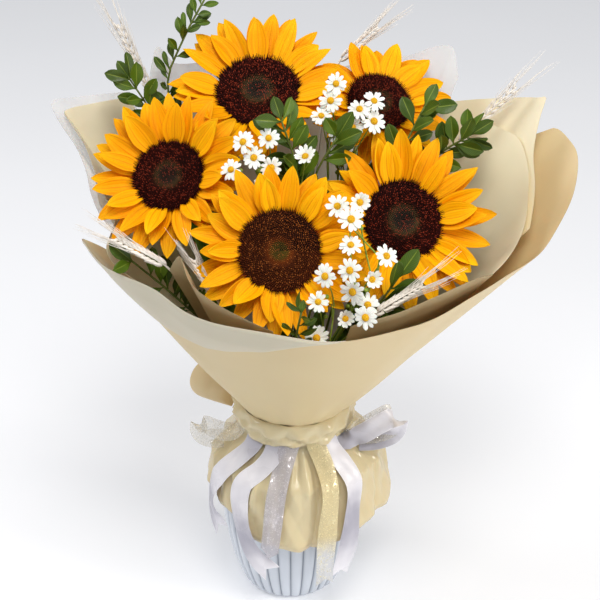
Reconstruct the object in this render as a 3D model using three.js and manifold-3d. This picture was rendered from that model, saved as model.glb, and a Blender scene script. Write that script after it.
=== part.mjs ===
// A bunch of sunflowers with chamomile, leafy twigs and bearded wheat, wrapped in paper and
// standing in a ribbed vase. Millimetres, +Z up, the front of the bunch faces -Y.
// The origin is the centre of the vase's underside.

import * as THREE from 'three';
import { mergeVertices } from 'three/addons/utils/BufferGeometryUtils.js';
import Module from 'manifold-3d';

const wasm = await Module();
wasm.setup();

// ---- driving dimensions -------------------------------------------------------------------

const GAP = 0.45;
const RAD = Math.PI / 180;

const VASE = {
  profile: [[39, 0], [43.5, 4], [52, 30], [58.5, 66], [60.5, 120]],
  cavity: [[38, 7], [47, 30], [54, 66], [56.5, 120]],
  flutes: 24,
  fluteDepth: 1.3,
  floor: 7,
};

const NECK = { z: 184, bottom: 162, radius: 43, layer: 1.6, x: 3 };
const PAPER = 0.8;

const PETAL = { count: 11, width: 19, thickness: 0.9, root: 0.78 };
const BRACT = { count: 9, length: 23, width: 16, thickness: 1.2, cup: 16 };
const HUB = 9;
const STEM = { radius: 4.6, ring: 13, foot: 15 };
const TWIG = { radius: 1.25, foot: 30 };

// Each sunflower: centre of its disc, the way it faces (azimuth from the front, elevation), disc
// radius, petals' length out from under the disc, the angle that the upper petals start up at,
// and where its stem stands in the ring at the neck.
const SUNFLOWERS = {
  top: { at: [-25, 34, 451], azimuth: -3, elevation: 58, disc: 32.5, petal: 43.5, lift: 34, neck: 112 },
  left: { at: [-92, -31, 408], azimuth: -16, elevation: 42, disc: 27.5, petal: 41, lift: 34, neck: 184 },
  front: { at: [-7, -90, 374], azimuth: 0, elevation: 33, disc: 30.5, petal: 39.5, lift: 27, neck: 256 },
  right: { at: [87, -42, 375], azimuth: 14, elevation: 38, disc: 31, petal: 45.5, lift: 34, neck: 328 },
  back_right: { at: [71, 46, 436], azimuth: 16, elevation: 54, disc: 25.5, petal: 37, lift: 16, neck: 40 },
};

const DAISY = { radius: 8.6, centre: 2.7, petals: 6, thickness: 0.7, dome: 2.2 };

// Each chamomile spray: where it stands at the neck, its route up to the fork, and its blooms.
const CHAMOMILE = [
  {
    neck: [-5, 0], route: [[-14, -22, 330], [-24, -34, 396]],
    blooms: [[-43, -46, 418], [-26, -46, 428], [-15, -42, 442], [-34, -40, 438], [-13, -48, 421],
      [-17, -52, 408], [12, -44, 428]],
  },
  {
    neck: [3, 4.5], route: [[30, -2, 330], [42, -6, 398]],
    blooms: [[31, -2, 455], [24, -4, 443], [48, -4, 434], [64, -4, 439], [38, -8, 428],
      [39, -10, 416], [53, -2, 448], [64, 2, 453], [35, 2, 467]],
  },
  {
    neck: [22.5, -16], route: [[34, -52, 270], [50, -94, 328], [63, -102, 358], [66, -101, 374]],
    blooms: [[35, -82, 406], [51, -86, 411], [44, -88, 397]],
  },
  {
    neck: [9, -27], route: [[30, -78, 280], [46, -100, 326]],
    blooms: [[44, -112, 390], [70, -108, 379], [43, -114, 370], [60, -110, 361], [46, -116, 354],
      [57, -116, 343]],
  },
  {
    neck: [14, -25], route: [[22, -86, 270], [30, -112, 308]],
    blooms: [[26, -118, 368], [21, -120, 348], [55, -106, 327], [41, -110, 328], [20, -119, 317]],
  },
];

const LEAFLET = { thickness: 0.8, width: 0.46 };

// Each leafy twig: its place at the neck, its route, and its leaflets' number and length.
const FOLIAGE = {
  upper_left: {
    neck: [-20, 16], route: [[-52, 44, 330], [-97, 58, 440], [-84, 64, 478], [-66, 70, 510]],
    leaflets: 11, length: 20, from: 0.7,
  },
  left_back: {
    neck: [-25, 7], route: [[-66, 24, 330], [-108, 30, 432], [-124, 28, 462]],
    leaflets: 8, length: 23, from: 0.72,
  },
  centre: {
    neck: [-1, -5], route: [[4, -22, 330], [6, -30, 408], [-6, -31, 452]],
    leaflets: 8, length: 22, from: 0.76,
  },
  centre_right: {
    neck: [0.5, 0.3], route: [[10, -10, 330], [20, -16, 400], [36, -14, 430]],
    leaflets: 7, length: 23, from: 0.76,
  },
  right_back: {
    neck: [22, 15], route: [[52, 10, 330], [82, 2, 402], [104, 18, 442]],
    leaflets: 10, length: 23, from: 0.74,
  },
  right: {
    neck: [26, 3], route: [[66, 8, 320], [112, 12, 400], [140, 6, 424]],
    leaflets: 11, length: 21, from: 0.74,
  },
  left_low: {
    neck: [-27, -4], route: [[-58, -34, 260], [-94, -62, 326], [-118, -66, 352]],
    leaflets: 7, length: 23, from: 0.76,
  },
  front_low: {
    neck: [-2, -29], route: [[0, -84, 262], [5, -122, 316], [9, -131, 346]],
    leaflets: 7, length: 16, from: 0.82,
  },
  front_right: {
    neck: [24, -10], route: [[50, -56, 262], [64, -94, 326], [80, -92, 352]],
    leaflets: 3, length: 25, from: 0.86,
  },
};

const EAR = { spikelets: 8, spikelet: [2, 2, 5.2], awns: 5, awnRadius: 0.6 };

// Each wheat ear: its place at the neck, the route of its straw, its base and tip, its beard.
const WHEAT = [
  { neck: [-17, 21], route: [[-56, 56, 320]], base: [-110, 66, 432], tip: [-136, 74, 490], beard: 52 },
  { neck: [4, 27], route: [[18, 76, 330]], base: [40, 101, 447], tip: [72, 107, 475], beard: 46 },
  { neck: [25, 10], route: [[72, 30, 310]], base: [132, 44, 398], tip: [180, 52, 446], beard: 44 },
  { neck: [-25, -13], route: [[-62, -38, 270]], base: [-91, -78, 354], tip: [-130, -70, 374], beard: 44 },
  { neck: [-11, -26], route: [[-32, -64, 270]], base: [-53, -93, 333], tip: [-70, -88, 366], beard: 34 },
  { neck: [19, -21], route: [[44, -72, 270]], base: [62, -108, 330], tip: [99, -100, 352], beard: 44 },
];

// Each sheet of paper: layer at the neck (0 outermost) and its rim, by azimuth from the front
// in degrees, with the rim's distance from the vase's axis and its height.
const SHEETS = {
  paper_front: {
    colour: 'cream', layer: 0, steps: 26,
    rim: [[-93, 148, 320], [-89, 157, 332], [-85, 166, 343], [-80, 163, 346], [-70, 155, 344],
      [-47, 141, 344], [-33, 140, 338], [-16, 141, 334], [0, 142, 331], [12, 144, 328],
      [35, 152, 329], [53, 157, 334],
      [66, 174, 340], [77, 194, 346], [84, 206, 360], [91, 219, 378], [97, 225.5, 397],
      [101, 222, 405], [103.4, 215, 410], [104.6, 208, 406], [108, 197, 396], [113, 184, 384]],
  },
  paper_right: {
    colour: 'cream', layer: 1, steps: 13,
    rim: [[84, 184, 356], [92, 190, 379], [98, 192, 401], [101.6, 199.5, 426], [102.8, 204.5, 437.5],
      [104.4, 200, 436], [108, 193, 432.5], [114, 183, 426], [124, 166.5, 416], [134, 150, 405]],
  },
  paper_right_inner: {
    colour: 'cream', layer: 2, steps: 12,
    rim: [[62, 158, 338], [70, 171, 350], [80, 180, 361], [90, 184, 374], [95, 185.5, 388],
      [100, 183, 403], [102.4, 179, 409], [106, 171, 411], [112, 160, 414], [120, 146, 408]],
  },
  paper_back: {
    colour: 'cream', layer: 0, steps: 14,
    rim: [[116, 186, 396], [126, 172, 402], [138, 153, 405], [150, 139, 405], [166, 126, 408],
      [180, 122, 410], [196, 125, 410], [212, 134, 410], [226, 150, 408], [238, 166, 400],
      [250, 168, 384], [260, 160, 366], [264, 156, 358]],
  },
  tissue_back: {
    colour: 'tissue', layer: 2, steps: 14,
    rim: [[122, 158, 440], [125, 157, 463], [139, 140, 450], [153, 124, 442], [167, 113, 436],
      [180, 108, 438], [196, 109, 442], [208, 117, 447], [227, 130, 450], [233, 137, 466],
      [238, 138, 440]],
  },
  paper_left: {
    colour: 'cream', layer: 2, steps: 12,
    rim: [[-120, 154, 425], [-114, 162, 427], [-108, 173, 428.5], [-104.4, 182, 429],
      [-102.8, 185, 427], [-101, 175, 420], [-97, 163, 408], [-92, 154, 394], [-88, 149, 384],
      [-82, 140, 366]],
  },
  tissue_left: {
    colour: 'tissue', layer: 1, steps: 12,
    rim: [[-122, 156, 428], [-114, 167, 432], [-107, 184, 434.5], [-104.2, 195.5, 435],
      [-102.8, 197, 432], [-100, 187, 421], [-97, 174, 410], [-92, 162, 395], [-86, 156, 382],
      [-80, 150, 371]],
  },
  tissue_front_left: {
    colour: 'tissue', layer: 1, steps: 6,
    rim: [[-47, 124, 356], [-40, 127, 374], [-32, 139, 362], [-24, 139, 350], [-14, 137, 340],
      [-6, 137, 334]],
  },
  tissue_front_right: {
    colour: 'tissue', layer: 1, steps: 6,
    rim: [[18, 136, 332], [30, 146, 342], [41, 150, 347], [56, 163, 350], [63, 168, 346]],
  },
};

// The hem of the skirt below the neck, and the crumpled band round it.
const SKIRT = {
  layer: 1.6, pleats: 14, depth: 2.2, gather: 164, swell: 138,
  hem: [[-180, 76, 92], [-150, 74, 98], [-120, 75, 106], [-90, 75, 103], [-60, 72, 100],
    [-30, 74, 88], [-8, 76, 81], [14, 75, 79], [34, 75, 86], [58, 80, 90], [83, 83, 88],
    [110, 80, 96], [150, 76, 96]],
};
const BAND = { bottom: 169, shoulder: 181.5, top: 186.5, folds: 12, layer: 8.1, close: 5.2, rise: 6 };

// Ribbons tied round the neck over the skirt: width, distance out from the gathered paper, the
// band's azimuths, tails as [azimuth, height] down the skirt, the loop as [azimuth, radius, height].
const SATIN = {
  width: 17, out: 3.4, band: [-180, 180, 20], levels: [167, 177],
  tails: [
    [[-40, 173], [-43, 163], [-50, 152], [-57, 138], [-66, 110], [-64, 92], [-54, 79]],
    [[-18, 173], [-19, 163], [-26, 152], [-36, 138], [-35, 108], [-29, 86], [-23, 71], [-13, 59]],
    [[34, 173], [37, 163], [41, 152], [42, 138], [38, 110], [34, 78], [30, 48]],
  ],
  loop: [[49, 46.2, 173], [51, 46.9, 165], [56, 57.4, 156], [61, 71, 154], [67, 84, 160], [70, 92, 173],
    [70, 90, 186], [67, 82, 192], [63, 73, 185], [59, 66, 173]],
};
const ORGANZA = {
  width: 16, out: 6.2, band: [-75, 32, 9], levels: [172, 180],
  tails: [
    [[-3, 173], [-6, 165], [-9, 154], [-11, 138], [-13, 106], [-15, 77]],
    [[21, 173], [23, 165], [25, 154], [24, 138], [21, 108], [19, 72], [19, 44]],
  ],
  loop: [[-69, 48.8, 175], [-71, 49.4, 165], [-74, 58, 154], [-78, 67.5, 150], [-82, 75, 156],
    [-82, 74, 167], [-79, 68, 173], [-76, 62, 168], [-73, 59, 162]],
};

// The corner of paper that stands out at the left below the cone: from its outer edge inwards.
const EAR_FOLD = [[[-68, 12, 215]], [[-80, 12, 208], [-56.4, 12, 208]], [[-85, 12, 196], [-48.4, 12, 197]],
  [[-84, 12, 187], [-46, 8, 192.3]], [[-78, 12, 180], [-51.5, 12, 185]], [[-66, 12, 175], [-53.5, 12, 178]],
  [[-58, 12, 173.5]]];

const COLOURS = {
  cream: 0xe5d4a8,
  tissue: 0xf1eee6,
  petal: 0xffae00,
  disc: 0x33140c,
  discFront: 0x52280f,
  green: 0x4f7a1e,
  leaf: 0x2c5416,
  chamomile: 0xfbfaf2,
  wheat: 0xe9ddc6,
  vase: 0xe9edf2,
  satin: 0xeeeef4,
  organza: 0xe2cf98,
};

// ---- small helpers ------------------------------------------------------------------------

const bunch = new THREE.Group();
const placed = [];

const point = (xyz) => new THREE.Vector3(...xyz);

// A repeatable draw between -1 and 1 for each whole number.
function draw(seed) {
  const s = Math.sin(seed * 12.9898 + 4.1414) * 43758.5453;
  return 2 * (s - Math.floor(s)) - 1;
}

function facing(azimuth, elevation) {
  const a = azimuth * RAD;
  const e = elevation * RAD;
  return new THREE.Vector3(Math.cos(e) * Math.sin(a), -Math.cos(e) * Math.cos(a), Math.sin(e));
}

// The frame of something at `origin` that faces along `normal`: x level, z the normal.
function frame(origin, normal) {
  const x = new THREE.Vector3(0, 0, 1).cross(normal).normalize();
  const y = normal.clone().cross(x);
  return new THREE.Matrix4().makeBasis(x, y, normal).setPosition(origin);
}

function polar(azimuth, radius, z) {
  const a = azimuth * RAD;
  return new THREE.Vector3(NECK.x + radius * Math.sin(a), -radius * Math.cos(a), z);
}

// Smooth value of `keys` ([where, a, b] rows in rising order) at `where`, for column `column`.
function along(keys, where, column) {
  const last = keys.length - 1;
  let i = 0;
  while (i < last - 1 && where > keys[i + 1][0]) i += 1;
  const span = keys[i + 1][0] - keys[i][0];
  const t = Math.min(1, Math.max(0, (where - keys[i][0]) / span));
  const slope = (k) => {
    const a = keys[Math.max(0, k - 1)];
    const b = keys[Math.min(last, k + 1)];
    return (b[column] - a[column]) / (b[0] - a[0]);
  };
  const t2 = t * t;
  const t3 = t2 * t;
  return (2 * t3 - 3 * t2 + 1) * keys[i][column] + (t3 - 2 * t2 + t) * span * slope(i)
    + (3 * t2 - 2 * t3) * keys[i + 1][column] + (t3 - t2) * span * slope(i + 1);
}

// ---- closed bodies ------------------------------------------------------------------------

function toManifold(geometry) {
  const bare = geometry.clone();
  bare.deleteAttribute('normal');
  bare.deleteAttribute('uv');
  const merged = mergeVertices(bare, 1e-4);
  const vertProperties = Float32Array.from(merged.attributes.position.array);
  const triVerts = Uint32Array.from(merged.index.array);
  return new wasm.Manifold(new wasm.Mesh({ numProp: 3, vertProperties, triVerts }));
}

function toGeometry(solid) {
  const { vertProperties, triVerts } = solid.getMesh();
  const geometry = new THREE.BufferGeometry();
  geometry.setAttribute('position', new THREE.BufferAttribute(vertProperties, 3));
  geometry.setIndex(new THREE.BufferAttribute(triVerts, 1));
  return geometry;
}

// One body from several: joined, tiny edges closed up, loose scraps dropped.
function fuse(solids) {
  const joined = wasm.Manifold.union(solids).simplify(0.03);
  const bodies = joined.decompose().sort((a, b) => b.volume() - a.volume());
  return bodies[0];
}

function isClear(solid) {
  const box = solid.boundingBox();
  return placed.every((other) => {
    const apart = [0, 1, 2].some((k) => box.min[k] > other.box.max[k] + GAP
      || box.max[k] < other.box.min[k] - GAP);
    return apart || solid.minGap(other.solid, GAP * 1.1) >= GAP;
  });
}

function add(name, solid, colour, roughness = 0.6, metalness = 0) {
  placed.push({ solid, box: solid.boundingBox() });
  const material = new THREE.MeshStandardMaterial({ color: COLOURS[colour], roughness, metalness });
  const mesh = new THREE.Mesh(toGeometry(solid), material);
  mesh.name = name;
  bunch.add(mesh);
}

// Triangles between two rows of points, which may differ in number.
function strip(a, b, emit) {
  let i = 0;
  let j = 0;
  while (i < a.length - 1 || j < b.length - 1) {
    const nextA = a.length > 1 ? (i + 1) / (a.length - 1) : 2;
    const nextB = b.length > 1 ? (j + 1) / (b.length - 1) : 2;
    if (j < b.length - 1 && (nextB <= nextA || i === a.length - 1)) {
      emit(a[i], b[j], b[j + 1]);
      j += 1;
    } else {
      emit(a[i], b[j], a[i + 1]);
      i += 1;
    }
  }
}

// A thin closed body between a face given as rows of points and the same rows pushed back.
function shell(face, back, closed = false) {
  const positions = [];
  const index = [];
  const store = (rows) => rows.map((row) => row.map((p) => {
    positions.push(p.x, p.y, p.z);
    return positions.length / 3 - 1;
  }));
  const top = store(face);
  const bottom = store(back);
  const rows = closed ? top.length : top.length - 1;
  for (let i = 0; i < rows; i += 1) {
    const k = (i + 1) % top.length;
    strip(top[i], top[k], (p, q, r) => index.push(p, q, r));
    strip(bottom[i], bottom[k], (p, q, r) => index.push(p, r, q));
  }
  const wall = (p, q, r, s) => index.push(p, q, r, p, r, s);
  const edges = closed ? [] : [loop(top, bottom)];
  if (closed) {
    edges.push([top.map((r) => r.at(-1)), bottom.map((r) => r.at(-1))]);
    edges.push([top.map((r) => r[0]).reverse(), bottom.map((r) => r[0]).reverse()]);
  }
  for (const [upper, lower] of edges) {
    upper.forEach((p, i) => {
      const k = (i + 1) % upper.length;
      wall(p, upper[k], lower[k], lower[i]);
    });
  }
  const geometry = new THREE.BufferGeometry();
  geometry.setAttribute('position', new THREE.Float32BufferAttribute(positions, 3));
  geometry.setIndex(index);
  return toManifold(geometry);
}

// The outline of the face's rows and of the back's, as two lists of vertex numbers.
function loop(top, bottom) {
  return [top, bottom].map((rows) => {
    const inner = rows.slice(1, -1);
    return [...rows[0], ...inner.map((r) => r.at(-1)), ...rows.at(-1).slice().reverse(),
      ...inner.map((r) => r[0]).reverse()];
  });
}

// Rows of a petal or leaf that leaves `base` along `out`, facing `up`. `shape` lists
// [share of the length, share of the half width, points across]; it starts lifted and curls back.
function bladeRows(base, out, up, { length, width, shape, lift, curl, camber = 0, thickness }) {
  const side = up.clone().cross(out).normalize();
  const bend = Math.abs(curl) < 1e-3 ? 1e-3 : curl;
  const face = [];
  const back = [];
  for (const [t, share, points] of shape) {
    const angle = lift - bend * t;
    const run = length * (Math.sin(lift) - Math.sin(angle)) / bend;
    const rise = length * (Math.cos(angle) - Math.cos(lift)) / bend;
    const centre = base.clone().addScaledVector(out, run).addScaledVector(up, rise);
    const normal = up.clone().multiplyScalar(Math.cos(angle)).addScaledVector(out, -Math.sin(angle));
    const half = share * width / 2;
    const across = { 1: [0], 2: [-1, 1], 3: [-1, 0, 1] }[points];
    const row = across.map((s) => centre.clone().addScaledVector(side, s * half)
      .addScaledVector(normal, camber * half * (Math.abs(s) - 0.5)));
    face.push(row);
    back.push(row.map((p) => p.clone().addScaledVector(normal, -thickness)));
  }
  return { face, back };
}

function blade(base, out, up, spec) {
  const { face, back } = bladeRows(base, out, up, spec);
  return shell(face, back);
}

// A tube of `sides` flat sides along a smooth curve through `points`.
function tube(points, radius, sides, steps) {
  const section = new THREE.Shape();
  for (let i = 0; i < sides; i += 1) {
    const a = 2 * Math.PI * i / sides;
    const go = i === 0 ? 'moveTo' : 'lineTo';
    section[go](radius * Math.cos(a), radius * Math.sin(a));
  }
  section.closePath();
  const path = new THREE.CatmullRomCurve3(points, false, 'centripetal');
  return toManifold(new THREE.ExtrudeGeometry(section, { steps, extrudePath: path }));
}

// A body turned round the axis of `matrix` from a profile of [radius, height] pairs.
function turned(profile, sides, matrix) {
  const outline = profile.map(([r, z]) => new THREE.Vector2(r, z));
  const geometry = new THREE.LatheGeometry(outline, sides);
  geometry.rotateX(Math.PI / 2);
  if (matrix) geometry.applyMatrix4(matrix);
  return toManifold(geometry);
}

// The first of several tries that touches nothing placed so far.
function firstClear(tries, make) {
  for (const attempt of tries) {
    const solid = make(attempt);
    if (isClear(solid)) return solid;
  }
  return null;
}

// ---- vase ---------------------------------------------------------------------------------

function buildVase() {
  const around = 2 * VASE.flutes;
  const rows = [];
  for (let i = 0; i < around; i += 1) {
    const a = 2 * Math.PI * i / around;
    const ridge = i % 2 === 0 ? 1 : -1;
    rows.push(VASE.profile.map(([r, z], k) => {
      const cut = k === 0 ? 0 : ridge * VASE.fluteDepth / 2;
      return new THREE.Vector3((r + cut) * Math.cos(a), (r + cut) * Math.sin(a), z);
    }));
  }
  const height = VASE.profile.at(-1)[1];
  const positions = rows.flat().flatMap((p) => p.toArray());
  const levels = VASE.profile.length;
  const index = [];
  const base = positions.push(0, 0, 0) / 3 - 1;
  const lid = positions.push(0, 0, height) / 3 - 1;
  for (let i = 0; i < around; i += 1) {
    const a = i * levels;
    const b = ((i + 1) % around) * levels;
    index.push(base, b, a, lid, a + levels - 1, b + levels - 1);
    for (let k = 0; k < levels - 1; k += 1) {
      index.push(a + k, b + k, b + k + 1, a + k, b + k + 1, a + k + 1);
    }
  }
  const geometry = new THREE.BufferGeometry();
  geometry.setAttribute('position', new THREE.Float32BufferAttribute(positions, 3));
  geometry.setIndex(index);
  const mouth = [VASE.cavity.at(-1)[0] + 0.3, height + 6];
  const cavity = turned([[0, VASE.floor], ...VASE.cavity, mouth, [0, height + 6]], 24);
  add('vase', toManifold(geometry).subtract(cavity), 'vase', 0.35);
}

// ---- paper --------------------------------------------------------------------------------

// A sheet gathered at the neck and spreading to its rim.
function buildSheet(name, { colour, layer, steps, rim }) {
  const neck = NECK.radius - layer * NECK.layer;
  const from = rim[0][0];
  const to = rim.at(-1)[0];
  const levels = [-1, 0, 1];
  const at = (i, level, push) => {
    const azimuth = from + (to - from) * i / steps;
    const radius = along(rim, azimuth, 1) - neck;
    const height = along(rim, azimuth, 2) - NECK.z;
    const lean = Math.atan2(radius, height);
    if (level < 0) return polar(azimuth, neck + push, NECK.bottom);
    const mitre = level === 0 ? Math.tan(lean / 2) : 0;
    const r = neck + radius * level + push * (level === 0 ? 1 : Math.cos(lean));
    const z = NECK.z + height * level - push * (level === 0 ? mitre : Math.sin(lean));
    return polar(azimuth, r, z);
  };
  const row = (i, push) => levels.map((level) => at(i, level, push));
  const outside = [];
  const inside = [];
  for (let i = 0; i <= steps; i += 1) {
    outside.push(row(i, PAPER / 2));
    inside.push(row(i, -PAPER / 2));
  }
  add(name, shell(outside, inside), colour, 0.7);
}

const HEM = [...SKIRT.hem, [180, SKIRT.hem[0][1], SKIRT.hem[0][2]]];
const SKIRT_LEVELS = [[0, 0, NECK.z - 3], [0, 0, SKIRT.gather], [0.6, 0.74, SKIRT.swell]];

// The skirt: gathered under the band, flaring over the vase to a pleated hem.
function buildSkirt() {
  const steps = 2 * SKIRT.pleats;
  const neck = NECK.radius + SKIRT.layer;
  const row = (i, push) => {
    const azimuth = -180 + 360 * i / steps;
    const radius = along(HEM, azimuth, 1);
    const pleat = i % 2 === 0 ? SKIRT.depth : -SKIRT.depth;
    const levels = [...SKIRT_LEVELS, [1, 1, along(HEM, azimuth, 2)]];
    return levels.map(([ripple, reach, z]) => polar(azimuth,
      neck + (radius - neck) * reach + pleat * ripple + push, z));
  };
  const outside = [];
  const inside = [];
  for (let i = 0; i < steps; i += 1) {
    outside.push(row(i, PAPER / 2).reverse());
    inside.push(row(i, -PAPER / 2).reverse());
  }
  add('paper_skirt', shell(outside, inside, true), 'cream', 0.5);
}

// How far the skirt stands out at a height, and below its hem the line that it points down.
function skirtRadius(azimuth, z) {
  const hem = along(HEM, azimuth, 2);
  const radius = along(HEM, azimuth, 1);
  if (z < hem) return radius - 0.12 * (hem - z);
  const neck = NECK.radius + SKIRT.layer;
  const keys = [[hem, radius], [SKIRT.swell, neck + 0.74 * (radius - neck)], [SKIRT.gather, neck],
    [NECK.z, neck]];
  const i = keys.findIndex((key, k) => k === keys.length - 2 || z <= keys[k + 1][0]);
  const t = (z - keys[i][0]) / (keys[i + 1][0] - keys[i][0]);
  return keys[i][1] + t * (keys[i + 1][1] - keys[i][1]);
}

// The pleated collar of paper over the ribbons' band, higher at the back, closing in on the cone.
function buildBand() {
  const steps = 2 * BAND.folds;
  const row = (i, push) => {
    const azimuth = -180 + 360 * i / steps;
    const fold = i % 2 === 0 ? 2.2 : 0;
    const r = NECK.radius + BAND.layer + push;
    const lift = BAND.rise * (1 - Math.cos(azimuth * RAD)) / 2;
    return [polar(azimuth, r, BAND.bottom + lift), polar(azimuth, r + fold, BAND.shoulder + lift),
      polar(azimuth, NECK.radius + BAND.close + push, BAND.top + lift * 0.4)];
  };
  const outside = [];
  const inside = [];
  for (let i = 0; i < steps; i += 1) {
    outside.push(row(i, PAPER / 2));
    inside.push(row(i, -PAPER / 2));
  }
  add('paper_band', shell(outside, inside, true), 'cream', 0.45);
}

// ---- sunflowers ---------------------------------------------------------------------------

// A ring of blades joined by a thin plate: the notches between them are shared.
function star({ count, turn, root, height, thickness, spec, seed, cup = 0 }) {
  const step = 2 * Math.PI / count;
  const rim = (a) => new THREE.Vector3(root * Math.cos(a), root * Math.sin(a), height);
  const drop = new THREE.Vector3(0, 0, -thickness);
  const positions = [];
  const index = [];
  const store = (p) => positions.push(p.x, p.y, p.z) / 3 - 1;
  const faceCentre = store(new THREE.Vector3(0, 0, height));
  const backCentre = store(new THREE.Vector3(0, 0, height - thickness - cup));
  const notches = [];
  for (let k = 0; k < count; k += 1) {
    const p = rim(turn + (k - 0.5) * step);
    notches.push([store(p), store(p.clone().add(drop))]);
  }
  for (let k = 0; k < count; k += 1) {
    const a = turn + k * step + 0.12 * step * draw(seed + 3 * k);
    const out = new THREE.Vector3(Math.cos(a), Math.sin(a), 0);
    const up = new THREE.Vector3(0, 0, 1);
    const middle = rim(turn + k * step);
    const own = { ...spec, length: spec.length * (1 + 0.09 * draw(seed + 5 * k)) };
    own.lift += spec.loose * draw(seed + 7 * k);
    own.curl += spec.loose * draw(seed + 11 * k);
    const { face, back } = bladeRows(middle, out, up, own);
    const right = (k + 1) % count;
    const top = [[notches[k][0], store(middle), notches[right][0]],
      ...face.map((r) => r.map(store))];
    const under = [[notches[k][1], store(middle.clone().add(drop)), notches[right][1]],
      ...back.map((r) => r.map(store))];
    index.push(faceCentre, top[0][0], top[0][1], faceCentre, top[0][1], top[0][2]);
    index.push(backCentre, under[0][1], under[0][0], backCentre, under[0][2], under[0][1]);
    for (let i = 0; i < top.length - 1; i += 1) {
      strip(top[i], top[i + 1], (p, q, r) => index.push(p, q, r));
      strip(under[i], under[i + 1], (p, q, r) => index.push(p, r, q));
    }
    const edge = (rows) => [...rows.map((r) => r.at(-1)), ...rows.slice(0, -1).map((r) => r[0]).reverse()];
    const upper = edge(top);
    const lower = edge(under);
    for (let i = 0; i < upper.length - 1; i += 1) {
      index.push(upper[i], upper[i + 1], lower[i + 1], upper[i], lower[i + 1], lower[i]);
    }
  }
  const geometry = new THREE.BufferGeometry();
  geometry.setAttribute('position', new THREE.Float32BufferAttribute(positions, 3));
  geometry.setIndex(index);
  return geometry;
}

// The ray petals in two layers, joined at the middle.
function buildRays(name, { disc, petal, lift }, place, seed) {
  const root = PETAL.root * disc;
  const layer = (height, angle, turn, length, loose, own) => {
    const shape = [[0.42, 0.88, 3], [0.76, 0.78, 2], [1, 0, 1]];
    const spec = { length, width: PETAL.width, thickness: PETAL.thickness, shape, loose,
      lift: angle * RAD, curl: (0.35 * angle + 7) * RAD, camber: 0.18 };
    const geometry = star({ count: PETAL.count, turn, root, height, thickness: PETAL.thickness,
      spec, seed: own });
    return toManifold(geometry.applyMatrix4(place));
  };
  const step = Math.PI / PETAL.count;
  const upper = layer(-HUB, lift, 0, petal, 3 * RAD, seed);
  const lower = layer(-HUB - 2, lift - 12, step, petal * 1.04, 3 * RAD, seed + 101);
  const pin = turned([[0, -HUB - 2.5], [10, -HUB - 2.5], [10, -HUB - 0.5], [0, -HUB - 0.5]], 6, place);
  add(`${name}_rays`, fuse([upper, lower, pin]), 'petal', 0.55);
}

// The disc: rings of raised florets over a shallow dome, flat where it meets the rays.
function buildDisc(name, { disc }, place, colour) {
  const around = 16;
  const rings = [0.2, 0.4, 0.6, 0.8, 0.96];
  const dome = (share) => -2.4 * share ** 3 - 1.6 * (1 - share) ** 3;
  const positions = [];
  const index = [];
  const store = (r, a, z) => positions.push(r * Math.cos(a), r * Math.sin(a), z) / 3 - 1;
  const ring = (r, z, relief, twist) => Array.from({ length: around }, (_, i) => {
    const a = 2 * Math.PI * (i + twist) / around;
    return store(r, a, z + (i % 2 === 0 ? relief : -relief));
  });
  const circles = rings.map((share, k) => ring(share * disc, dome(share), 0.7, (k + 1) / 2));
  const turn = rings.length / 2;
  circles.push(ring(disc, -3.3, 0, turn));
  circles.push(ring(PETAL.root * disc, -HUB + GAP, 0, turn));
  const apex = store(0, 0, dome(0));
  const base = store(0, 0, -HUB + GAP);
  for (let i = 0; i < around; i += 1) {
    const j = (i + 1) % around;
    index.push(apex, circles[0][i], circles[0][j]);
    index.push(base, circles.at(-1)[j], circles.at(-1)[i]);
    for (let k = 0; k < circles.length - 1; k += 1) {
      const [a, b] = [circles[k], circles[k + 1]];
      index.push(a[i], b[i], b[j], a[i], b[j], a[j]);
    }
  }
  const geometry = new THREE.BufferGeometry();
  geometry.setAttribute('position', new THREE.Float32BufferAttribute(positions, 3));
  geometry.setIndex(index);
  add(`${name}_disc`, toManifold(geometry.applyMatrix4(place)), colour, 0.9);
}

// The green back of the head with its ring of bracts, and the stem down into the vase.
function buildStem(name, { disc, neck }, place, centre, normal, seed) {
  const top = -HUB - 2 - PETAL.thickness - GAP;
  const spec = { length: BRACT.length, width: BRACT.width, thickness: BRACT.thickness,
    shape: [[0.45, 0.8, 2], [1, 0, 1]], lift: -14 * RAD, curl: -12 * RAD, loose: 4 * RAD };
  const bracts = toManifold(star({ count: BRACT.count, turn: 0.2, root: 0.6 * disc, height: top,
    thickness: BRACT.thickness, spec, seed, cup: BRACT.cup }).applyMatrix4(place));
  const a = neck * RAD;
  const ring = (radius, z) => new THREE.Vector3(radius * Math.cos(a), radius * Math.sin(a), z);
  const start = centre.clone().addScaledVector(normal, top - 6);
  const bend = centre.clone().addScaledVector(normal, top - 26);
  const middle = bend.clone().lerp(ring(STEM.ring, NECK.z), 0.45);
  middle.z -= 12;
  const route = [start, bend, middle, ring(STEM.ring, NECK.z + 25), ring(STEM.ring, NECK.z - 20),
    ring(STEM.foot, 60), ring(STEM.foot, VASE.floor + 0.5)];
  add(`${name}_stem`, fuse([bracts, tube(route, STEM.radius, 6, 8)]), 'green', 0.7);
}

function buildSunflower(key, spec, seed) {
  const centre = point(spec.at);
  const normal = facing(spec.azimuth, spec.elevation);
  const place = frame(centre, normal);
  const name = `sunflower_${key}`;
  buildRays(name, spec, place, seed);
  buildDisc(name, spec, place, key === 'front' ? 'discFront' : 'disc');
  buildStem(name, spec, place, centre, normal, seed + 37);
}

// ---- thin stems, chamomile, leafy twigs and wheat --------------------------------------------

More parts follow.
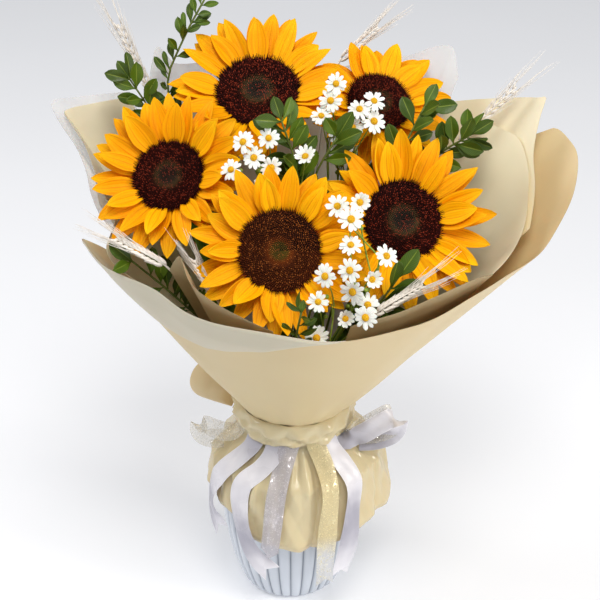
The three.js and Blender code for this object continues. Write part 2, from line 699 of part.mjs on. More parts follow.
// The route of a thin stem: foot in the vase, neck, then its own points.
function twigRoute(neck, route, sway) {
  const out = new THREE.Vector3(neck[0], neck[1], 0).normalize();
  const reach = Math.hypot(...neck);
  const foot = Math.min(reach + 4, TWIG.foot);
  const at = (radius, z) => out.clone().multiplyScalar(radius).setZ(z);
  const points = route.map(point);
  points[0].add(sway);
  return [at(foot, VASE.floor + 0.5), at(foot, 70), at(reach, NECK.z - 20), at(reach, NECK.z + 15),
    ...points];
}

// Ways to lean a thin stem: as drawn first, then further and further to each side.
const SWAYS = [new THREE.Vector3()];
for (const reach of [5, 10, 15, 20]) {
  for (let i = 0; i < 8; i += 1) {
    const a = 2 * Math.PI * i / 8;
    SWAYS.push(new THREE.Vector3(reach * Math.cos(a), reach * Math.sin(a), 0));
  }
}

// A thin stem that leans aside until it touches nothing.
function growTwig({ neck, route }, steps, radius = TWIG.radius) {
  let points = null;
  const make = (sway) => {
    points = twigRoute(neck, route, sway);
    return tube(points, radius, 3, steps);
  };
  const solid = firstClear(SWAYS, make) ?? make(SWAYS[0]);
  return { solid, points };
}

// One bloom: a flat star of blunt petals round a raised centre, on its short stalk.
function daisy(centre, normal, size, seed, fork) {
  const place = frame(centre, normal);
  const { petals, thickness, dome } = DAISY;
  const positions = [];
  const index = [];
  const store = (r, a, z) => positions.push(r * Math.cos(a), r * Math.sin(a), z) / 3 - 1;
  const ring = (drop) => Array.from({ length: 3 * petals }, (_, i) => {
    const a = 2 * Math.PI * (Math.floor(i / 3) + [0, 0.2, 0.8][i % 3]) / petals + seed;
    const tip = i % 3 > 0;
    return store((tip ? DAISY.radius : DAISY.centre) * size, a, (tip ? -0.6 : 0) - drop);
  });
  const face = ring(0);
  const back = ring(thickness);
  const apex = store(0, 0, dome);
  const base = store(0, 0, -thickness - 0.6);
  for (let i = 0; i < face.length; i += 3) {
    const [a, b, c] = [i, i + 1, i + 2];
    const d = (i + 3) % face.length;
    index.push(apex, face[a], face[d], face[a], face[b], face[c], face[a], face[c], face[d]);
    index.push(base, back[d], back[a], back[a], back[c], back[b], back[a], back[d], back[c]);
    for (const [p, q] of [[a, b], [b, c], [c, d]]) {
      index.push(face[p], back[p], back[q], face[p], back[q], face[q]);
    }
  }
  const geometry = new THREE.BufferGeometry();
  geometry.setAttribute('position', new THREE.Float32BufferAttribute(positions, 3));
  geometry.setIndex(index);
  const bloom = toManifold(geometry.applyMatrix4(place));
  const under = centre.clone().addScaledVector(normal, -1);
  const stalk = tube([fork, under], 0.7, 3, 1);
  return wasm.Manifold.union([bloom, stalk]);
}

function buildChamomile(spec, number) {
  const { solid, points } = growTwig(spec, 8);
  const curve = new THREE.CatmullRomCurve3(points, false, 'centripetal');
  const parts = [solid];
  spec.blooms.forEach((at, k) => {
    const seed = 31 * number + 7 * k;
    const tilt = facing(24 * draw(seed), 38 + 16 * draw(seed + 2));
    const size = 1 + 0.1 * draw(seed + 4);
    const tries = [0, 3, 6, 9, 12, 16, 20, 25, 30];
    const bloom = firstClear(tries, (slide) => {
      const centre = point(at).addScaledVector(facing(0, 30), slide);
      return daisy(centre, tilt, size, seed, curve.getPointAt(1 - 0.16 * k / spec.blooms.length));
    });
    if (bloom) parts.push(bloom);
  });
  add(`chamomile_${number}`, fuse(parts), 'chamomile', 0.6);
}

// Leaflets in turn to each side of the twig, and one at its end.
function buildFoliage(name, spec) {
  const { solid, points } = growTwig(spec, 9);
  const curve = new THREE.CatmullRomCurve3(points, false, 'centripetal');
  const parts = [solid];
  const view = facing(0, 35);
  for (let k = 0; k < spec.leaflets; k += 1) {
    const last = k === spec.leaflets - 1;
    const t = last ? 0.995 : spec.from + (0.99 - spec.from) * k / (spec.leaflets - 1);
    const seed = spec.length * 13 + k * 5;
    const base = curve.getPointAt(t);
    const tangent = curve.getTangentAt(t);
    const up = view.clone().addScaledVector(tangent, -view.dot(tangent)).normalize();
    const side = up.clone().cross(tangent);
    const spread = last ? 0 : (k % 2 === 0 ? 1 : -1) * (50 + 12 * draw(seed)) * RAD;
    const out = tangent.clone().multiplyScalar(Math.cos(spread)).addScaledVector(side, Math.sin(spread));
    const length = spec.length * (1 + 0.14 * draw(seed + 1));
    const tries = [0, 20, -20, 40, -40, 60, -60].flatMap((bend) => [[bend, 1], [bend, 0.8]]);
    const leaf = firstClear(tries, ([bend, size]) => blade(base, out, up, {
      length: length * size, width: length * LEAFLET.width * size, thickness: LEAFLET.thickness,
      shape: [[0, 0, 1], [0.45, 1, 3], [1, 0, 1]], lift: (12 + bend) * RAD, curl: 26 * RAD, camber: 0.25,
    }));
    if (leaf) parts.push(leaf);
  }
  add(`foliage_${name}`, fuse(parts), 'leaf', 0.5);
}

// One ear: spikelets in two rows along the straw's end, each with a long awn.
function ear({ base, tip, beard }, seed) {
  const from = point(base);
  const to = point(tip);
  const axis = to.clone().sub(from);
  const long = axis.length();
  axis.normalize();
  const side = axis.clone().cross(facing(0, 30)).normalize();
  const deep = side.clone().cross(axis);
  const parts = [];
  const turn = (direction) => new THREE.Matrix4().makeRotationFromQuaternion(
    new THREE.Quaternion().setFromUnitVectors(new THREE.Vector3(0, 0, 1), direction));
  for (let k = 0; k < EAR.spikelets; k += 1) {
    const t = 0.04 + 0.9 * k / (EAR.spikelets - 1);
    const hand = k % 2 === 0 ? 1 : -1;
    const lean = axis.clone().addScaledVector(side, 0.34 * hand)
      .addScaledVector(deep, 0.2 * draw(seed + k)).normalize();
    const grain = new THREE.OctahedronGeometry(1, 0);
    const taper = 1 - 0.35 * t;
    grain.scale(EAR.spikelet[0] * taper, EAR.spikelet[1] * taper, EAR.spikelet[2]);
    const place = turn(lean).setPosition(from.clone().addScaledVector(axis, long * t)
      .addScaledVector(side, 2.3 * hand * taper));
    parts.push(toManifold(grain.applyMatrix4(place)));
    if (k >= EAR.spikelets - EAR.awns) {
      const reach = beard * (0.75 + 0.25 * draw(seed + 9 * k));
      const awn = new THREE.ConeGeometry(EAR.awnRadius, reach, 3, 1);
      awn.rotateX(Math.PI / 2).translate(0, 0, reach / 2);
      const spread = axis.clone().addScaledVector(side, 0.16 * hand + 0.05 * draw(seed + 3 * k))
        .addScaledVector(deep, 0.1 * draw(seed + 5 * k)).normalize();
      parts.push(toManifold(awn.applyMatrix4(turn(spread).setPosition(place.elements[12],
        place.elements[13], place.elements[14]))));
    }
  }
  return parts;
}

function buildWheat(spec, number) {
  const end = point(spec.base).lerp(point(spec.tip), 0.97).toArray();
  const { solid } = growTwig({ neck: spec.neck, route: [...spec.route, spec.base, end] }, 8, 1.1);
  add(`wheat_${number}`, fuse([solid, ...ear(spec, 17 * number)]), 'wheat', 0.7);
}

// ---- ribbons ------------------------------------------------------------------------------

// A flat ribbon through `points`, `width` across, its face turned towards `facings(point)`.
function ribbon(points, width, facings) {
  const curve = new THREE.CatmullRomCurve3(points, false, 'centripetal');
  const steps = points.length - 1;
  const face = [];
  const back = [];
  for (let i = 0; i <= steps; i += 1) {
    const p = points[i];
    const tangent = curve.getTangent(i / steps);
    const normal = facings(p);
    normal.addScaledVector(tangent, -normal.dot(tangent)).normalize();
    const side = normal.clone().cross(tangent);
    const row = [-0.5, 0.5].map((s) => p.clone().addScaledVector(side, s * width)
      .addScaledVector(normal, PAPER / 2));
    face.push(row);
    back.push(row.map((q) => q.clone().addScaledVector(normal, -PAPER)));
  }
  return shell(face, back);
}

// Square to the neck above the gather, and to the skirt's flare and its steeper fall below it.
function squareToSkirt(p) {
  const flare = 0.85 * THREE.MathUtils.clamp((SKIRT.gather + 4 - p.z) / 8, 0, 1)
    - 0.68 * THREE.MathUtils.clamp((SKIRT.swell + 4 - p.z) / 10, 0, 1);
  return new THREE.Vector3(p.x - NECK.x, p.y, 0).normalize().setZ(flare).normalize();
}

// A ribbon tied round the neck: its band, its tails down the skirt and one loop, fused.
function buildRibbon(name, { width, out, band, levels, tails, loop: bow }, colour) {
  const neck = NECK.radius + out;
  const [from, to, steps] = band;
  const closed = to - from === 360;
  const row = (i, push) => levels.map((z) => polar(from + (to - from) * i / steps, neck + push, z));
  const count = closed ? steps : steps + 1;
  const rows = (push) => Array.from({ length: count }, (_, i) => row(i, push));
  const parts = [shell(rows(PAPER / 2), rows(-PAPER / 2), closed)];
  for (const tail of tails) {
    const points = tail.map(([azimuth, z]) => {
      const fall = THREE.MathUtils.clamp((SKIRT.gather - z) / 10, 0, 1);
      const below = skirtRadius(azimuth, z) + out + SKIRT.depth + 1;
      return polar(azimuth, THREE.MathUtils.lerp(neck - 0.4, below, fall), z);
    });
    parts.push(ribbon(points, width, squareToSkirt));
  }
  const points = bow.map((p) => polar(...p));
  const middle = points[2].clone().lerp(points[6], 0.5);
  parts.push(ribbon(points, width, (p) => {
    const swing = THREE.MathUtils.clamp((Math.hypot(p.x - NECK.x, p.y) - 58) / 12, 0, 1);
    return squareToSkirt(p).multiplyScalar(1 - swing)
      .addScaledVector(p.clone().sub(middle).normalize(), swing);
  }));
  add(name, fuse(parts), colour, 0.35);
}

// The folded corner of paper at the left of the neck.
function buildEarFold() {
  const face = EAR_FOLD.map((row) => row.map(point));
  const back = face.map((row) => row.map((p) => p.clone().add(new THREE.Vector3(0, PAPER, 0))));
  add('paper_fold', shell(face, back), 'cream', 0.6);
}

// ---- build --------------------------------------------------------------------------------

buildVase();
for (const [name, spec] of Object.entries(SHEETS)) buildSheet(name, spec);
buildSkirt();
buildBand();
buildEarFold();
buildRibbon('ribbon_satin', SATIN, 'satin');
buildRibbon('ribbon_organza', ORGANZA, 'organza');
Object.entries(SUNFLOWERS).forEach(([key, spec], i) => buildSunflower(key, spec, 50 + 211 * i));
WHEAT.forEach((spec, i) => buildWheat(spec, i + 1));
CHAMOMILE.forEach((spec, i) => buildChamomile(spec, i + 1));
for (const [name, spec] of Object.entries(FOLIAGE)) buildFoliage(name, spec);

export default bunch;
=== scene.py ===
# %% [markdown]
# # A bunch of sunflowers, dressed in Blender
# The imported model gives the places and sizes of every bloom, sheet and ribbon. This lesson puts
# real petals, florets, leaves, paper and cloth on that frame. Lengths are worked out in
# millimetres, because a flower is easy to think of that way, and become metres in the last step
# of each piece. Up is +Z, and the blooms face -Y.

# %% Load the frame
import math

import bmesh
import bpy
from mathutils import Matrix, Vector


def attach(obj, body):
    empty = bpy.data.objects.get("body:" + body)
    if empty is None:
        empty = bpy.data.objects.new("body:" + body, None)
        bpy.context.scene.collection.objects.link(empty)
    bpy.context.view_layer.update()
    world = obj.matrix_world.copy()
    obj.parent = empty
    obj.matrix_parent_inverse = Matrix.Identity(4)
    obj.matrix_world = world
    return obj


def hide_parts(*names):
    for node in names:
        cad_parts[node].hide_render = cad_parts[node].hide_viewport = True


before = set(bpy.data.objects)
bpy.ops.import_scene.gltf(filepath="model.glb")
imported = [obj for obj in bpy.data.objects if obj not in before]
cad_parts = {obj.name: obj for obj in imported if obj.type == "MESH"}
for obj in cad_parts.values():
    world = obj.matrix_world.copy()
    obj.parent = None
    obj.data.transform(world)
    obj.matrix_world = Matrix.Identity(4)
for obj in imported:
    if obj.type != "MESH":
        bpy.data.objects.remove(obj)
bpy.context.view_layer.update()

MM = 0.001
print("frame:", len(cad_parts), "solids")

# %% [markdown]
# ## Small tools for shapes
# Plants repeat with small differences, so one repeatable draw gives each petal its own length
# and tilt. The same draw and the same directions were used for the solids, and so a fine petal
# lands where its plain one was.

# %% Draws and directions
UP = Vector((0, 0, 1))
NECK = {"z": 184, "bottom": 162, "radius": 43, "layer": 1.6, "x": 3}


def draw(seed):
    """A repeatable number between -1 and 1."""
    s = math.sin(seed * 12.9898 + 4.1414) * 43758.5453
    return 2 * (s - math.floor(s)) - 1


def clamp(value, low=0.0, high=1.0):
    return min(high, max(low, value))


def ease(value):
    """0 to 1 with a soft start and a soft end."""
    t = clamp(value)
    return t * t * (3 - 2 * t)


def facing(azimuth, elevation):
    """A direction by its degrees to the right of the front and its degrees upwards."""
    a, e = math.radians(azimuth), math.radians(elevation)
    return Vector((math.cos(e) * math.sin(a), -math.cos(e) * math.cos(a), math.sin(e)))


def round_axis(turn, radius=1.0, z=0.0):
    """A point at `radius` from the upright axis, at an angle in radians and a height."""
    return Vector((radius * math.cos(turn), radius * math.sin(turn), z))


def stand(origin, normal):
    """The matrix of something at `origin` that faces along `normal`."""
    x = UP.cross(normal).normalized()
    y = normal.cross(x)
    turn = Matrix((x, y, normal)).transposed().to_4x4()
    return Matrix.Translation(origin) @ turn


def polar(azimuth, radius, z):
    """A point round the neck, by its degrees to the right of the front."""
    a = math.radians(azimuth)
    return Vector((NECK["x"] + radius * math.sin(a), -radius * math.cos(a), z))


def along(keys, where, column):
    """The smooth value of rows [where, a, b, ...] at `where`."""
    last = len(keys) - 1
    i = 0
    while i < last - 1 and where > keys[i + 1][0]:
        i += 1
    span = keys[i + 1][0] - keys[i][0]
    t = clamp((where - keys[i][0]) / span)

    def slope(k):
        a, b = keys[max(0, k - 1)], keys[min(last, k + 1)]
        return (b[column] - a[column]) / (b[0] - a[0])

    t2, t3 = t * t, t * t * t
    return ((2 * t3 - 3 * t2 + 1) * keys[i][column] + (t3 - 2 * t2 + t) * span * slope(i)
            + (3 * t2 - 2 * t3) * keys[i + 1][column] + (t3 - t2) * span * slope(i + 1))


print("a draw:", round(draw(50), 4))

# %% [markdown]
# A stem or ribbon follows a smooth curve through a few points. The curve here is the centripetal
# Catmull-Rom spline, which doesn't loop where its points stand close together.

# %% Smooth routes


def spline(points, t):
    """The point at share `t` of the way along the numbered points."""
    last = len(points) - 1
    i = min(last - 1, int(t * last))
    w = t * last - i
    p1, p2 = points[i], points[i + 1]
    p0 = points[i - 1] if i > 0 else 2 * p1 - p2
    p3 = points[i + 2] if i + 2 <= last else 2 * p2 - p1
    d0, d1, d2 = (max(1e-3, (b - a).length) ** 0.5 for a, b in ((p0, p1), (p1, p2), (p2, p3)))
    m1 = ((p1 - p0) / d0 - (p2 - p0) / (d0 + d1) + (p2 - p1) / d1) * d1
    m2 = ((p2 - p1) / d1 - (p3 - p1) / (d1 + d2) + (p3 - p2) / d2) * d1
    return (p1 + m1 * w + (3 * (p2 - p1) - 2 * m1 - m2) * w ** 2
            + (2 * (p1 - p2) + m1 + m2) * w ** 3)


def route(points, count):
    """`count` + 1 points at even distances along the curve through `points`."""
    fine = [spline(points, i / 200) for i in range(201)]
    sums = [0.0]
    for a, b in zip(fine, fine[1:]):
        sums.append(sums[-1] + (b - a).length)
    found = []
    k = 0
    for i in range(count + 1):
        want = sums[-1] * i / count
        while k < 199 and sums[k + 1] < want:
            k += 1
        share = clamp((want - sums[k]) / max(1e-6, sums[k + 1] - sums[k]))
        found.append(fine[k].lerp(fine[k + 1], share))
    return found


# %% [markdown]
# ## One grid for everything thin
# Petals, leaves, paper and ribbons are all sheets, and a stalk is a sheet rolled up. Blender's
# grid operator makes the faces, a rule says where each point goes, and the grid's own numbers
# are kept as a UV map. Patterns such as veins then follow the sheet however it bends. A second
# map holds one number for each sheet, so that no two petals need be the same colour.

# %% Sheets and stalks


def patch(bm, across, steps, place, tint=0.5):
    """A grid of faces; `place(u, v)` gives a point for u and v from 0 to 1."""
    grid = bm.loops.layers.uv.get("grid") or bm.loops.layers.uv.new("grid")
    own = bm.loops.layers.uv.get("own") or bm.loops.layers.uv.new("own")
    verts = bmesh.ops.create_grid(bm, x_segments=across, y_segments=steps, size=0.5)["verts"]
    spots = {v: (v.co.x + 0.5, v.co.y + 0.5) for v in verts}
    for face in {f for v in verts for f in v.link_faces}:
        face.smooth = True
        for corner in face.loops:
            corner[grid].uv = spots[corner.vert]
            corner[own].uv = tint(*spots[corner.vert]) if callable(tint) else (tint, tint)
    for v, (a, b) in spots.items():
        v.co = place(a, b)
    return verts


def close_seam(bm, verts, reach=0.02):
    """Joins a rolled sheet's two edges and caps the ends."""
    bmesh.ops.remove_doubles(bm, verts=verts, dist=reach)
    kept = [v for v in verts if v.is_valid]
    rims = dict.fromkeys(e for v in kept for e in v.link_edges if e.is_boundary)
    if rims:
        bmesh.ops.holes_fill(bm, edges=list(rims), sides=0)
    return kept


def stalk(bm, points, radius, sides=6, tint=0.5):
    """A round stalk through `points`; `radius(t)` is its radius at share t of the way."""
    last = len(points) - 1
    rings = []
    side = None
    for i, p in enumerate(points):
        ahead = (points[min(i + 1, last)] - points[max(i - 1, 0)]).normalized()
        side = ahead.orthogonal() if side is None else side
        side = (side - ahead * side.dot(ahead)).normalized()
        rings.append((p, side, ahead.cross(side), radius(i / last)))

    def place(u, v):
        centre, a, b, r = rings[round(v * last)]
        turn = 2 * math.pi * u
        return centre + (a * math.cos(turn) + b * math.sin(turn)) * r

    return close_seam(bm, patch(bm, sides, last, place, tint))


def piece(name, bm, finish, nodes, wall=0.0, offset=-1.0):
    """Turns a bmesh in millimetres into a piece of the bunch that stands for CAD nodes.

    A sheet gets its thickness here, and its large faces then rule the shading of its thin edge.
    """
    bmesh.ops.scale(bm, vec=(MM, MM, MM), verts=bm.verts)
    mesh = bpy.data.meshes.new(name)
    bm.to_mesh(mesh)
    bm.free()
    mesh.materials.append(finish)
    obj = bpy.data.objects.new(name, mesh)
    bpy.context.scene.collection.objects.link(obj)
    if wall:
        thick = obj.modifiers.new("wall", "SOLIDIFY")
        thick.thickness = wall * MM
        thick.offset = offset
        obj.modifiers.new("crisp edges", "WEIGHTED_NORMAL").weight = 100
    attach(obj, "root")
    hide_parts(*nodes)
    print(f"{name}: {len(mesh.polygons)} faces")
    return obj


# %% [markdown]
# ## Sums on shader sockets
# A pattern is a sum of waves and noise. Written as Python sums it can be read, so a small class
# wraps a socket and each sum on it adds the Math node that does it.

# %% Wires


class Wire:
    """A number on its way through a material."""

    def __init__(self, tree, socket):
        self.tree, self.socket = tree, socket

    def math(self, operation, *values):
        node = self.tree.nodes.new("ShaderNodeMath")
        node.operation = operation
        for slot, value in zip(node.inputs, values):
            feed(self.tree, slot, value)
        return Wire(self.tree, node.outputs[0])

    def __add__(self, other):
        return self.math("ADD", self, other)

    def __sub__(self, other):
        return self.math("SUBTRACT", self, other)

    def __rsub__(self, other):
        return self.math("SUBTRACT", other, self)

    def __mul__(self, other):
        return self.math("MULTIPLY", self, other)

    def __truediv__(self, other):
        return self.math("DIVIDE", self, other)

    def __pow__(self, other):
        return self.math("POWER", self, other)

    __radd__, __rmul__ = __add__, __mul__

    def wave(self):
        return self.math("SINE", self)

    def size(self):
        return self.math("ABSOLUTE", self)

    def over(self, edge, soft):
        """0 below `edge`, 1 above edge + soft."""
        return ((self - edge) / soft).kept()

    def kept(self):
        node = self.tree.nodes.new("ShaderNodeClamp")
        feed(self.tree, node.inputs[0], self)
        return Wire(self.tree, node.outputs[0])


def feed(tree, slot, value):
    if isinstance(value, Wire):
        tree.links.new(value.socket, slot)
    else:
        slot.default_value = value


def rgb(code):
    """A colour written as on the web, in Blender's linear numbers."""
    parts = [int(code[i:i + 2], 16) / 255 for i in (1, 3, 5)]
    return [p / 12.92 if p <= 0.04045 else ((p + 0.055) / 1.055) ** 2.4 for p in parts] + [1.0]


print("petal gold in linear numbers:", [round(c, 3) for c in rgb("#FFB200")])

# %% [markdown]
# Every material of the bunch is one Principled shader with a pattern in front of it. A class holds
# the shader, adds the few kinds of node that the patterns need, and joins their results to its
# colour, roughness, transparency and bump. Written out node by node, each finish would be a page.

# %% Finishes


class Finish:
    """A material on one Principled shader."""

    def __init__(self, name, **constants):
        self.material = bpy.data.materials.new(name)
        self.material.use_nodes = True
        self.tree = self.material.node_tree
        self.shader = self.tree.nodes["Principled BSDF"]
        for key, value in constants.items():
            self.shader.inputs[key.replace("_", " ")].default_value = value

    def node(self, kind, settings=None, inputs=None, out=0):
        node = self.tree.nodes.new("ShaderNode" + kind)
        for key, value in (settings or {}).items():
            if key == "stops":
                stops = node.color_ramp.elements
                stops.remove(stops[1])
                stops[0].position, stops[0].color = value[0][0], rgb(value[0][1])
                for place, colour in value[1:]:
                    stops.new(place).color = rgb(colour)
            else:
                setattr(node, key, value)
        for key, value in (inputs or {}).items():
            feed(self.tree, node.inputs[key], value)
        return Wire(self.tree, node.outputs[out])

    def map(self, name):
        """The two numbers of a UV map."""
        both = self.node("UVMap", {"uv_map": name})
        first, second = (self.node("SeparateXYZ", {}, {0: both}, k) for k in (0, 1))
        return first, second

    def place(self):
        return self.node("TexCoord", {}, {}, "Object")

    def noise(self, scale, detail=2.0):
        where = self.place()
        return self.node("TexNoise", {}, {"Vector": where, "Scale": scale, "Detail": detail})

    def cells(self, scale, out):
        return self.node("TexVoronoi", {}, {"Vector": self.place(), "Scale": scale}, out)

    def mix(self, share, a, b):
        return self.node("Mix", {"data_type": "RGBA"}, {0: share, 6: a, 7: b}, 2)

    def ramp(self, value, stops):
        return self.node("ValToRGB", {"stops": stops}, {0: value})

    def colour(self, wire):
        feed(self.tree, self.shader.inputs["Base Color"], wire)

    def rough(self, wire):
        feed(self.tree, self.shader.inputs["Roughness"], wire)

    def alpha(self, wire):
        feed(self.tree, self.shader.inputs["Alpha"], wire)

    def bump(self, height, strength=0.5, distance=0.0005):
        made = self.node("Bump", {}, {"Strength": strength, "Distance": distance, "Height": height})
        feed(self.tree, self.shader.inputs["Normal"], made)


print("finishes can be made")

# %% [markdown]
# ## Finishes of the sunflowers
# A ray petal is golden and has fine lines along it with two or three creases. It is deeper orange where it
# leaves the disc, which is painted shade under the disc, and its creases are painted darker orange as shade.
# Its UV map runs from the base (v = 0) to the tip (v = 1), so lines are waves across u. A picture of a petal
# could be laid on instead, but lines that are worked out stay sharp at any size. Some petals are more orange
# than others: that is their own number, and the petals of the lower layers are tinted more orange still, as
# painted shade under the upper ones.

# %% Petals


def petal_finish(name, deep, gold, light):
    f = Finish(name, Specular_IOR_Level=0.1, Subsurface_Weight=0.12, Subsurface_Scale=0.004)
    u, v = f.map("grid")
    own, _ = f.map("own")
    wander = f.noise(55.0, 3.0)
    lines = ((u * 52.0 + wander * 3.0).wave() * 0.5 + 0.5) ** 2.0
    creases = ((u * 18.85 + own * 9.0 + wander * 1.2).wave() * 0.5 + 0.5) ** 16.0
    # Deeper orange at the base is painted shade where the petal goes under the disc.
    body = f.ramp(v + wander * 0.16 - 0.08, [(0.0, deep), (0.26, gold), (0.7, gold), (1.0, light)])
    warm = f.mix((own * 0.6).kept(), body, rgb(deep))
    # The creases are darkened as painted shade; the fine lines are the petal's own.
    shade = (lines * 0.16 + creases * 0.45 * (1 - v * 0.6)).kept()
    f.colour(f.mix(shade, warm, rgb("#C25600")))
    f.rough(0.5 + wander * 0.15)
    f.bump(lines * 0.4 + creases * -0.7 + f.noise(420.0) * 0.25, 0.55, 0.0004)
    return f.material


PETAL_GOLD = petal_finish("petal gold", "#EE8400", "#FFB200", "#FFC60E")
print("finish:", PETAL_GOLD.name)

# %% [markdown]
# The disc is a close crowd of tiny florets. The outer ones are open, dark and fuzzy, and the ones at the
# middle are still shut and grey-green. Each floret's UV map holds its distance from the middle (u) and its
# height (v), so one ramp colours the whole disc. Each floret is painted darker towards its foot, as shade
# between the florets, and some tips are painted lighter, as highlights.

# %% Florets


def floret_finish(name, stops, tip):
    f = Finish(name, Specular_IOR_Level=0.12)
    u, v = f.map("grid")
    own, _ = f.map("own")
    # Which florets get a painted highlight at the tip.
    highlight_speck = (own * 2.0 - 1.1).kept()
    body = f.ramp(u + f.noise(700.0) * 0.04 - 0.02, stops)
    # Painted shade: each floret goes nearly black towards its foot, between the florets.
    low = f.mix(1 - v, body, rgb("#040101"))
    f.colour(f.mix((v ** 3.0) * (highlight_speck * 0.85 + 0.05), low, rgb(tip)))
    f.rough(0.75 - highlight_speck * 0.25)
    return f.material


FLORETS_DARK = floret_finish("florets maroon", [
    (0.0, "#1C211C"), (0.2, "#252A22"), (0.29, "#4A4228"), (0.37, "#46331C"), (0.44, "#240806"),
    (0.55, "#220403"), (1.0, "#340604")], "#A8422A")
FLORETS_BROWN = floret_finish("florets brown", [
    (0.0, "#4A4414"), (0.18, "#5A4C18"), (0.24, "#7E3A0C"), (0.36, "#52220A"), (0.6, "#481C08"),
    (1.0, "#5A240A")], "#B8682E")
print("finishes:", FLORETS_DARK.name, FLORETS_BROWN.name)

# %% [markdown]
# Green parts: the bracts and stems are a hairy mid green, and the leaflets dark and glossy with
# a pale midrib and faint side veins. The hair is far too fine to model, so a small bump stands
# for it. The veins are waves that slant away from the middle of each leaf's UV map.

# %% Greens


def green_finish(name, dark, light, rough=0.6):
    f = Finish(name, Specular_IOR_Level=0.3)
    fleck = f.noise(90.0, 4.0)
    f.colour(f.mix(fleck, rgb(dark), rgb(light)))
    f.rough(rough + fleck * 0.15)
    f.bump(f.noise(900.0, 2.0), 0.3, 0.0003)
    return f.material


def leaf_finish(name, dark, light, rib):
    f = Finish(name, Specular_IOR_Level=0.35, Coat_Weight=0.1, Coat_Roughness=0.2)
    u, v = f.map("grid")
    own, _ = f.map("own")
    off = (u - 0.5).size()
    midrib = (1 - off * 22.0).kept()
    veins = (((v - off * 0.9) * 62.0).wave() * 0.5 + 0.5) ** 6.0
    patchy = f.noise(70.0, 3.0)
    body = f.mix((patchy * 0.7 + own * 0.6 - 0.15).kept(), rgb(dark), rgb(light))
    f.colour(f.mix((midrib * 0.75 + veins * 0.14).kept(), body, rgb(rib)))
    f.rough(0.34 + patchy * 0.2)
    f.bump(veins * 0.5 + midrib * -0.8 + patchy * 0.3, 0.5, 0.0004)
    return f.material


STEM_GREEN = green_finish("stem green", "#3E6218", "#6C8F2E")
TWIG_GREEN = green_finish("twig green", "#4A5A22", "#6F7B34")
STALK_GREEN = green_finish("stalk green", "#6E8F2C", "#A5B94E", 0.5)
LEAF_GREEN = leaf_finish("leaf green", "#1B3204", "#56740A", "#94A43C")
print("finishes:", STEM_GREEN.name, LEAF_GREEN.name)

# %% [markdown]
# Chamomile petals are chalk white with a groove or two, painted greyer in the grooves towards the base as
# shade, and the cone in the middle is egg-yolk yellow, pebbled with its own florets and painted deeper
# yellow between them as shade. It is only 5 mm wide, so its pebbles are a bump of Voronoi cells, while the
# large heads get modelled florets. Wheat is bleached straw, a little greyer in its grooves.

# %% Whites and yellows


def chalk_finish(name, white, shade):
    f = Finish(name, Specular_IOR_Level=0.25, Subsurface_Weight=0.1, Subsurface_Scale=0.002)
    u, v = f.map("grid")
    groove = (u * 18.85).wave() * 0.5 + 0.5
    # The grooves are painted greyer towards the base, as shade.
    f.colour(f.mix((1 - v) * 0.5 * groove, rgb(white), rgb(shade)))
    f.rough(0.6 + groove * 0.1)
    f.bump(groove, 0.35, 0.0002)
    return f.material


def yolk_finish(name, deep, light):
    f = Finish(name, Specular_IOR_Level=0.3)
    beads = f.cells(1500.0, "Distance")
    # Darker between the pebbles: painted shade in the gaps.
    f.colour(f.mix(beads * 1.2, rgb(light), rgb(deep)))
    f.rough(0.6 + beads * 0.2)
    f.bump(1 - beads, 0.7, 0.0004)
    return f.material


def straw_finish(name, pale, shade):
    f = Finish(name, Specular_IOR_Level=0.35)
    u, _ = f.map("grid")
    lines = ((u * 75.0).wave() * 0.5 + 0.5) ** 2.0
    dry = f.noise(120.0, 3.0)
    f.colour(f.mix((lines * 0.25 + dry * 0.4 - 0.12).kept(), rgb(pale), rgb(shade)))
    f.rough(0.5 + dry * 0.2)
    f.bump(lines, 0.4, 0.0002)
    return f.material


CHALK = chalk_finish("chamomile white", "#F8F8F2", "#B4B4A2")
YOLK = yolk_finish("chamomile yellow", "#C98400", "#F5CB10")
STRAW = straw_finish("bleached straw", "#FBF6EF", "#CDB99E")
print("finishes:", CHALK.name, YOLK.name, STRAW.name)

# %% [markdown]
# ## Finishes of the wrapping
# The cream paper is a smooth, slightly waxy sheet: soft highlights, hardly any grain, and fine creases where
# it was handled. The inner sheets are paler, and the skirt and collar shine more, because the paper is
# pulled tight there. The tissue lets light through, so it has some transparency. The two tissue sheets at
# the front are darker, in painted shade.

# %% Paper


def paper_finish(name, cream, warm, rough=0.42, alpha=1.0):
    f = Finish(name, Specular_IOR_Level=0.4, Subsurface_Weight=0.08, Subsurface_Scale=0.006)
    cloud = f.noise(7.0, 3.0)
    grain = f.noise(1400.0, 2.0)
    crease = f.node("TexVoronoi", {"feature": "DISTANCE_TO_EDGE"}, {
        "Vector": f.node("Mapping", {}, {"Vector": f.place(), "Scale": (9.0, 9.0, 4.0)}),
        "Scale": 1.0, "Randomness": 1.0})
    f.colour(f.mix((cloud * 1.2 - 0.3).kept(), rgb(cream), rgb(warm)))
    f.rough(rough + grain * 0.12)
    f.bump(cloud * 3.0 + grain * 0.05 + (crease * 26.0).kept() * 0.15, 0.25, 0.0012)
    f.alpha(alpha)
    return f.material


CREAM = paper_finish("cream paper", "#DFC99E", "#CFB586")
PALE = paper_finish("pale paper", "#F4E8CC", "#E8D6AC", 0.36)
LIP = paper_finish("turned edge", "#D6CCB8", "#C6B89C", 0.5)
SATIN_PAPER = paper_finish("creased paper", "#DFCEA8", "#C4AC7E", 0.14)
TISSUE = paper_finish("tissue", "#F2F2F4", "#EAE8E6", 0.5, 0.45)
# Tissue darkened to taupe as painted shade, for the two tissue sheets at the front.
PAINTED_SHADE_TISSUE = paper_finish("taupe tissue", "#C0AE88", "#AE9A72", 0.4, 0.8)
print("finishes:", CREAM.name, TISSUE.name, PAINTED_SHADE_TISSUE.name)
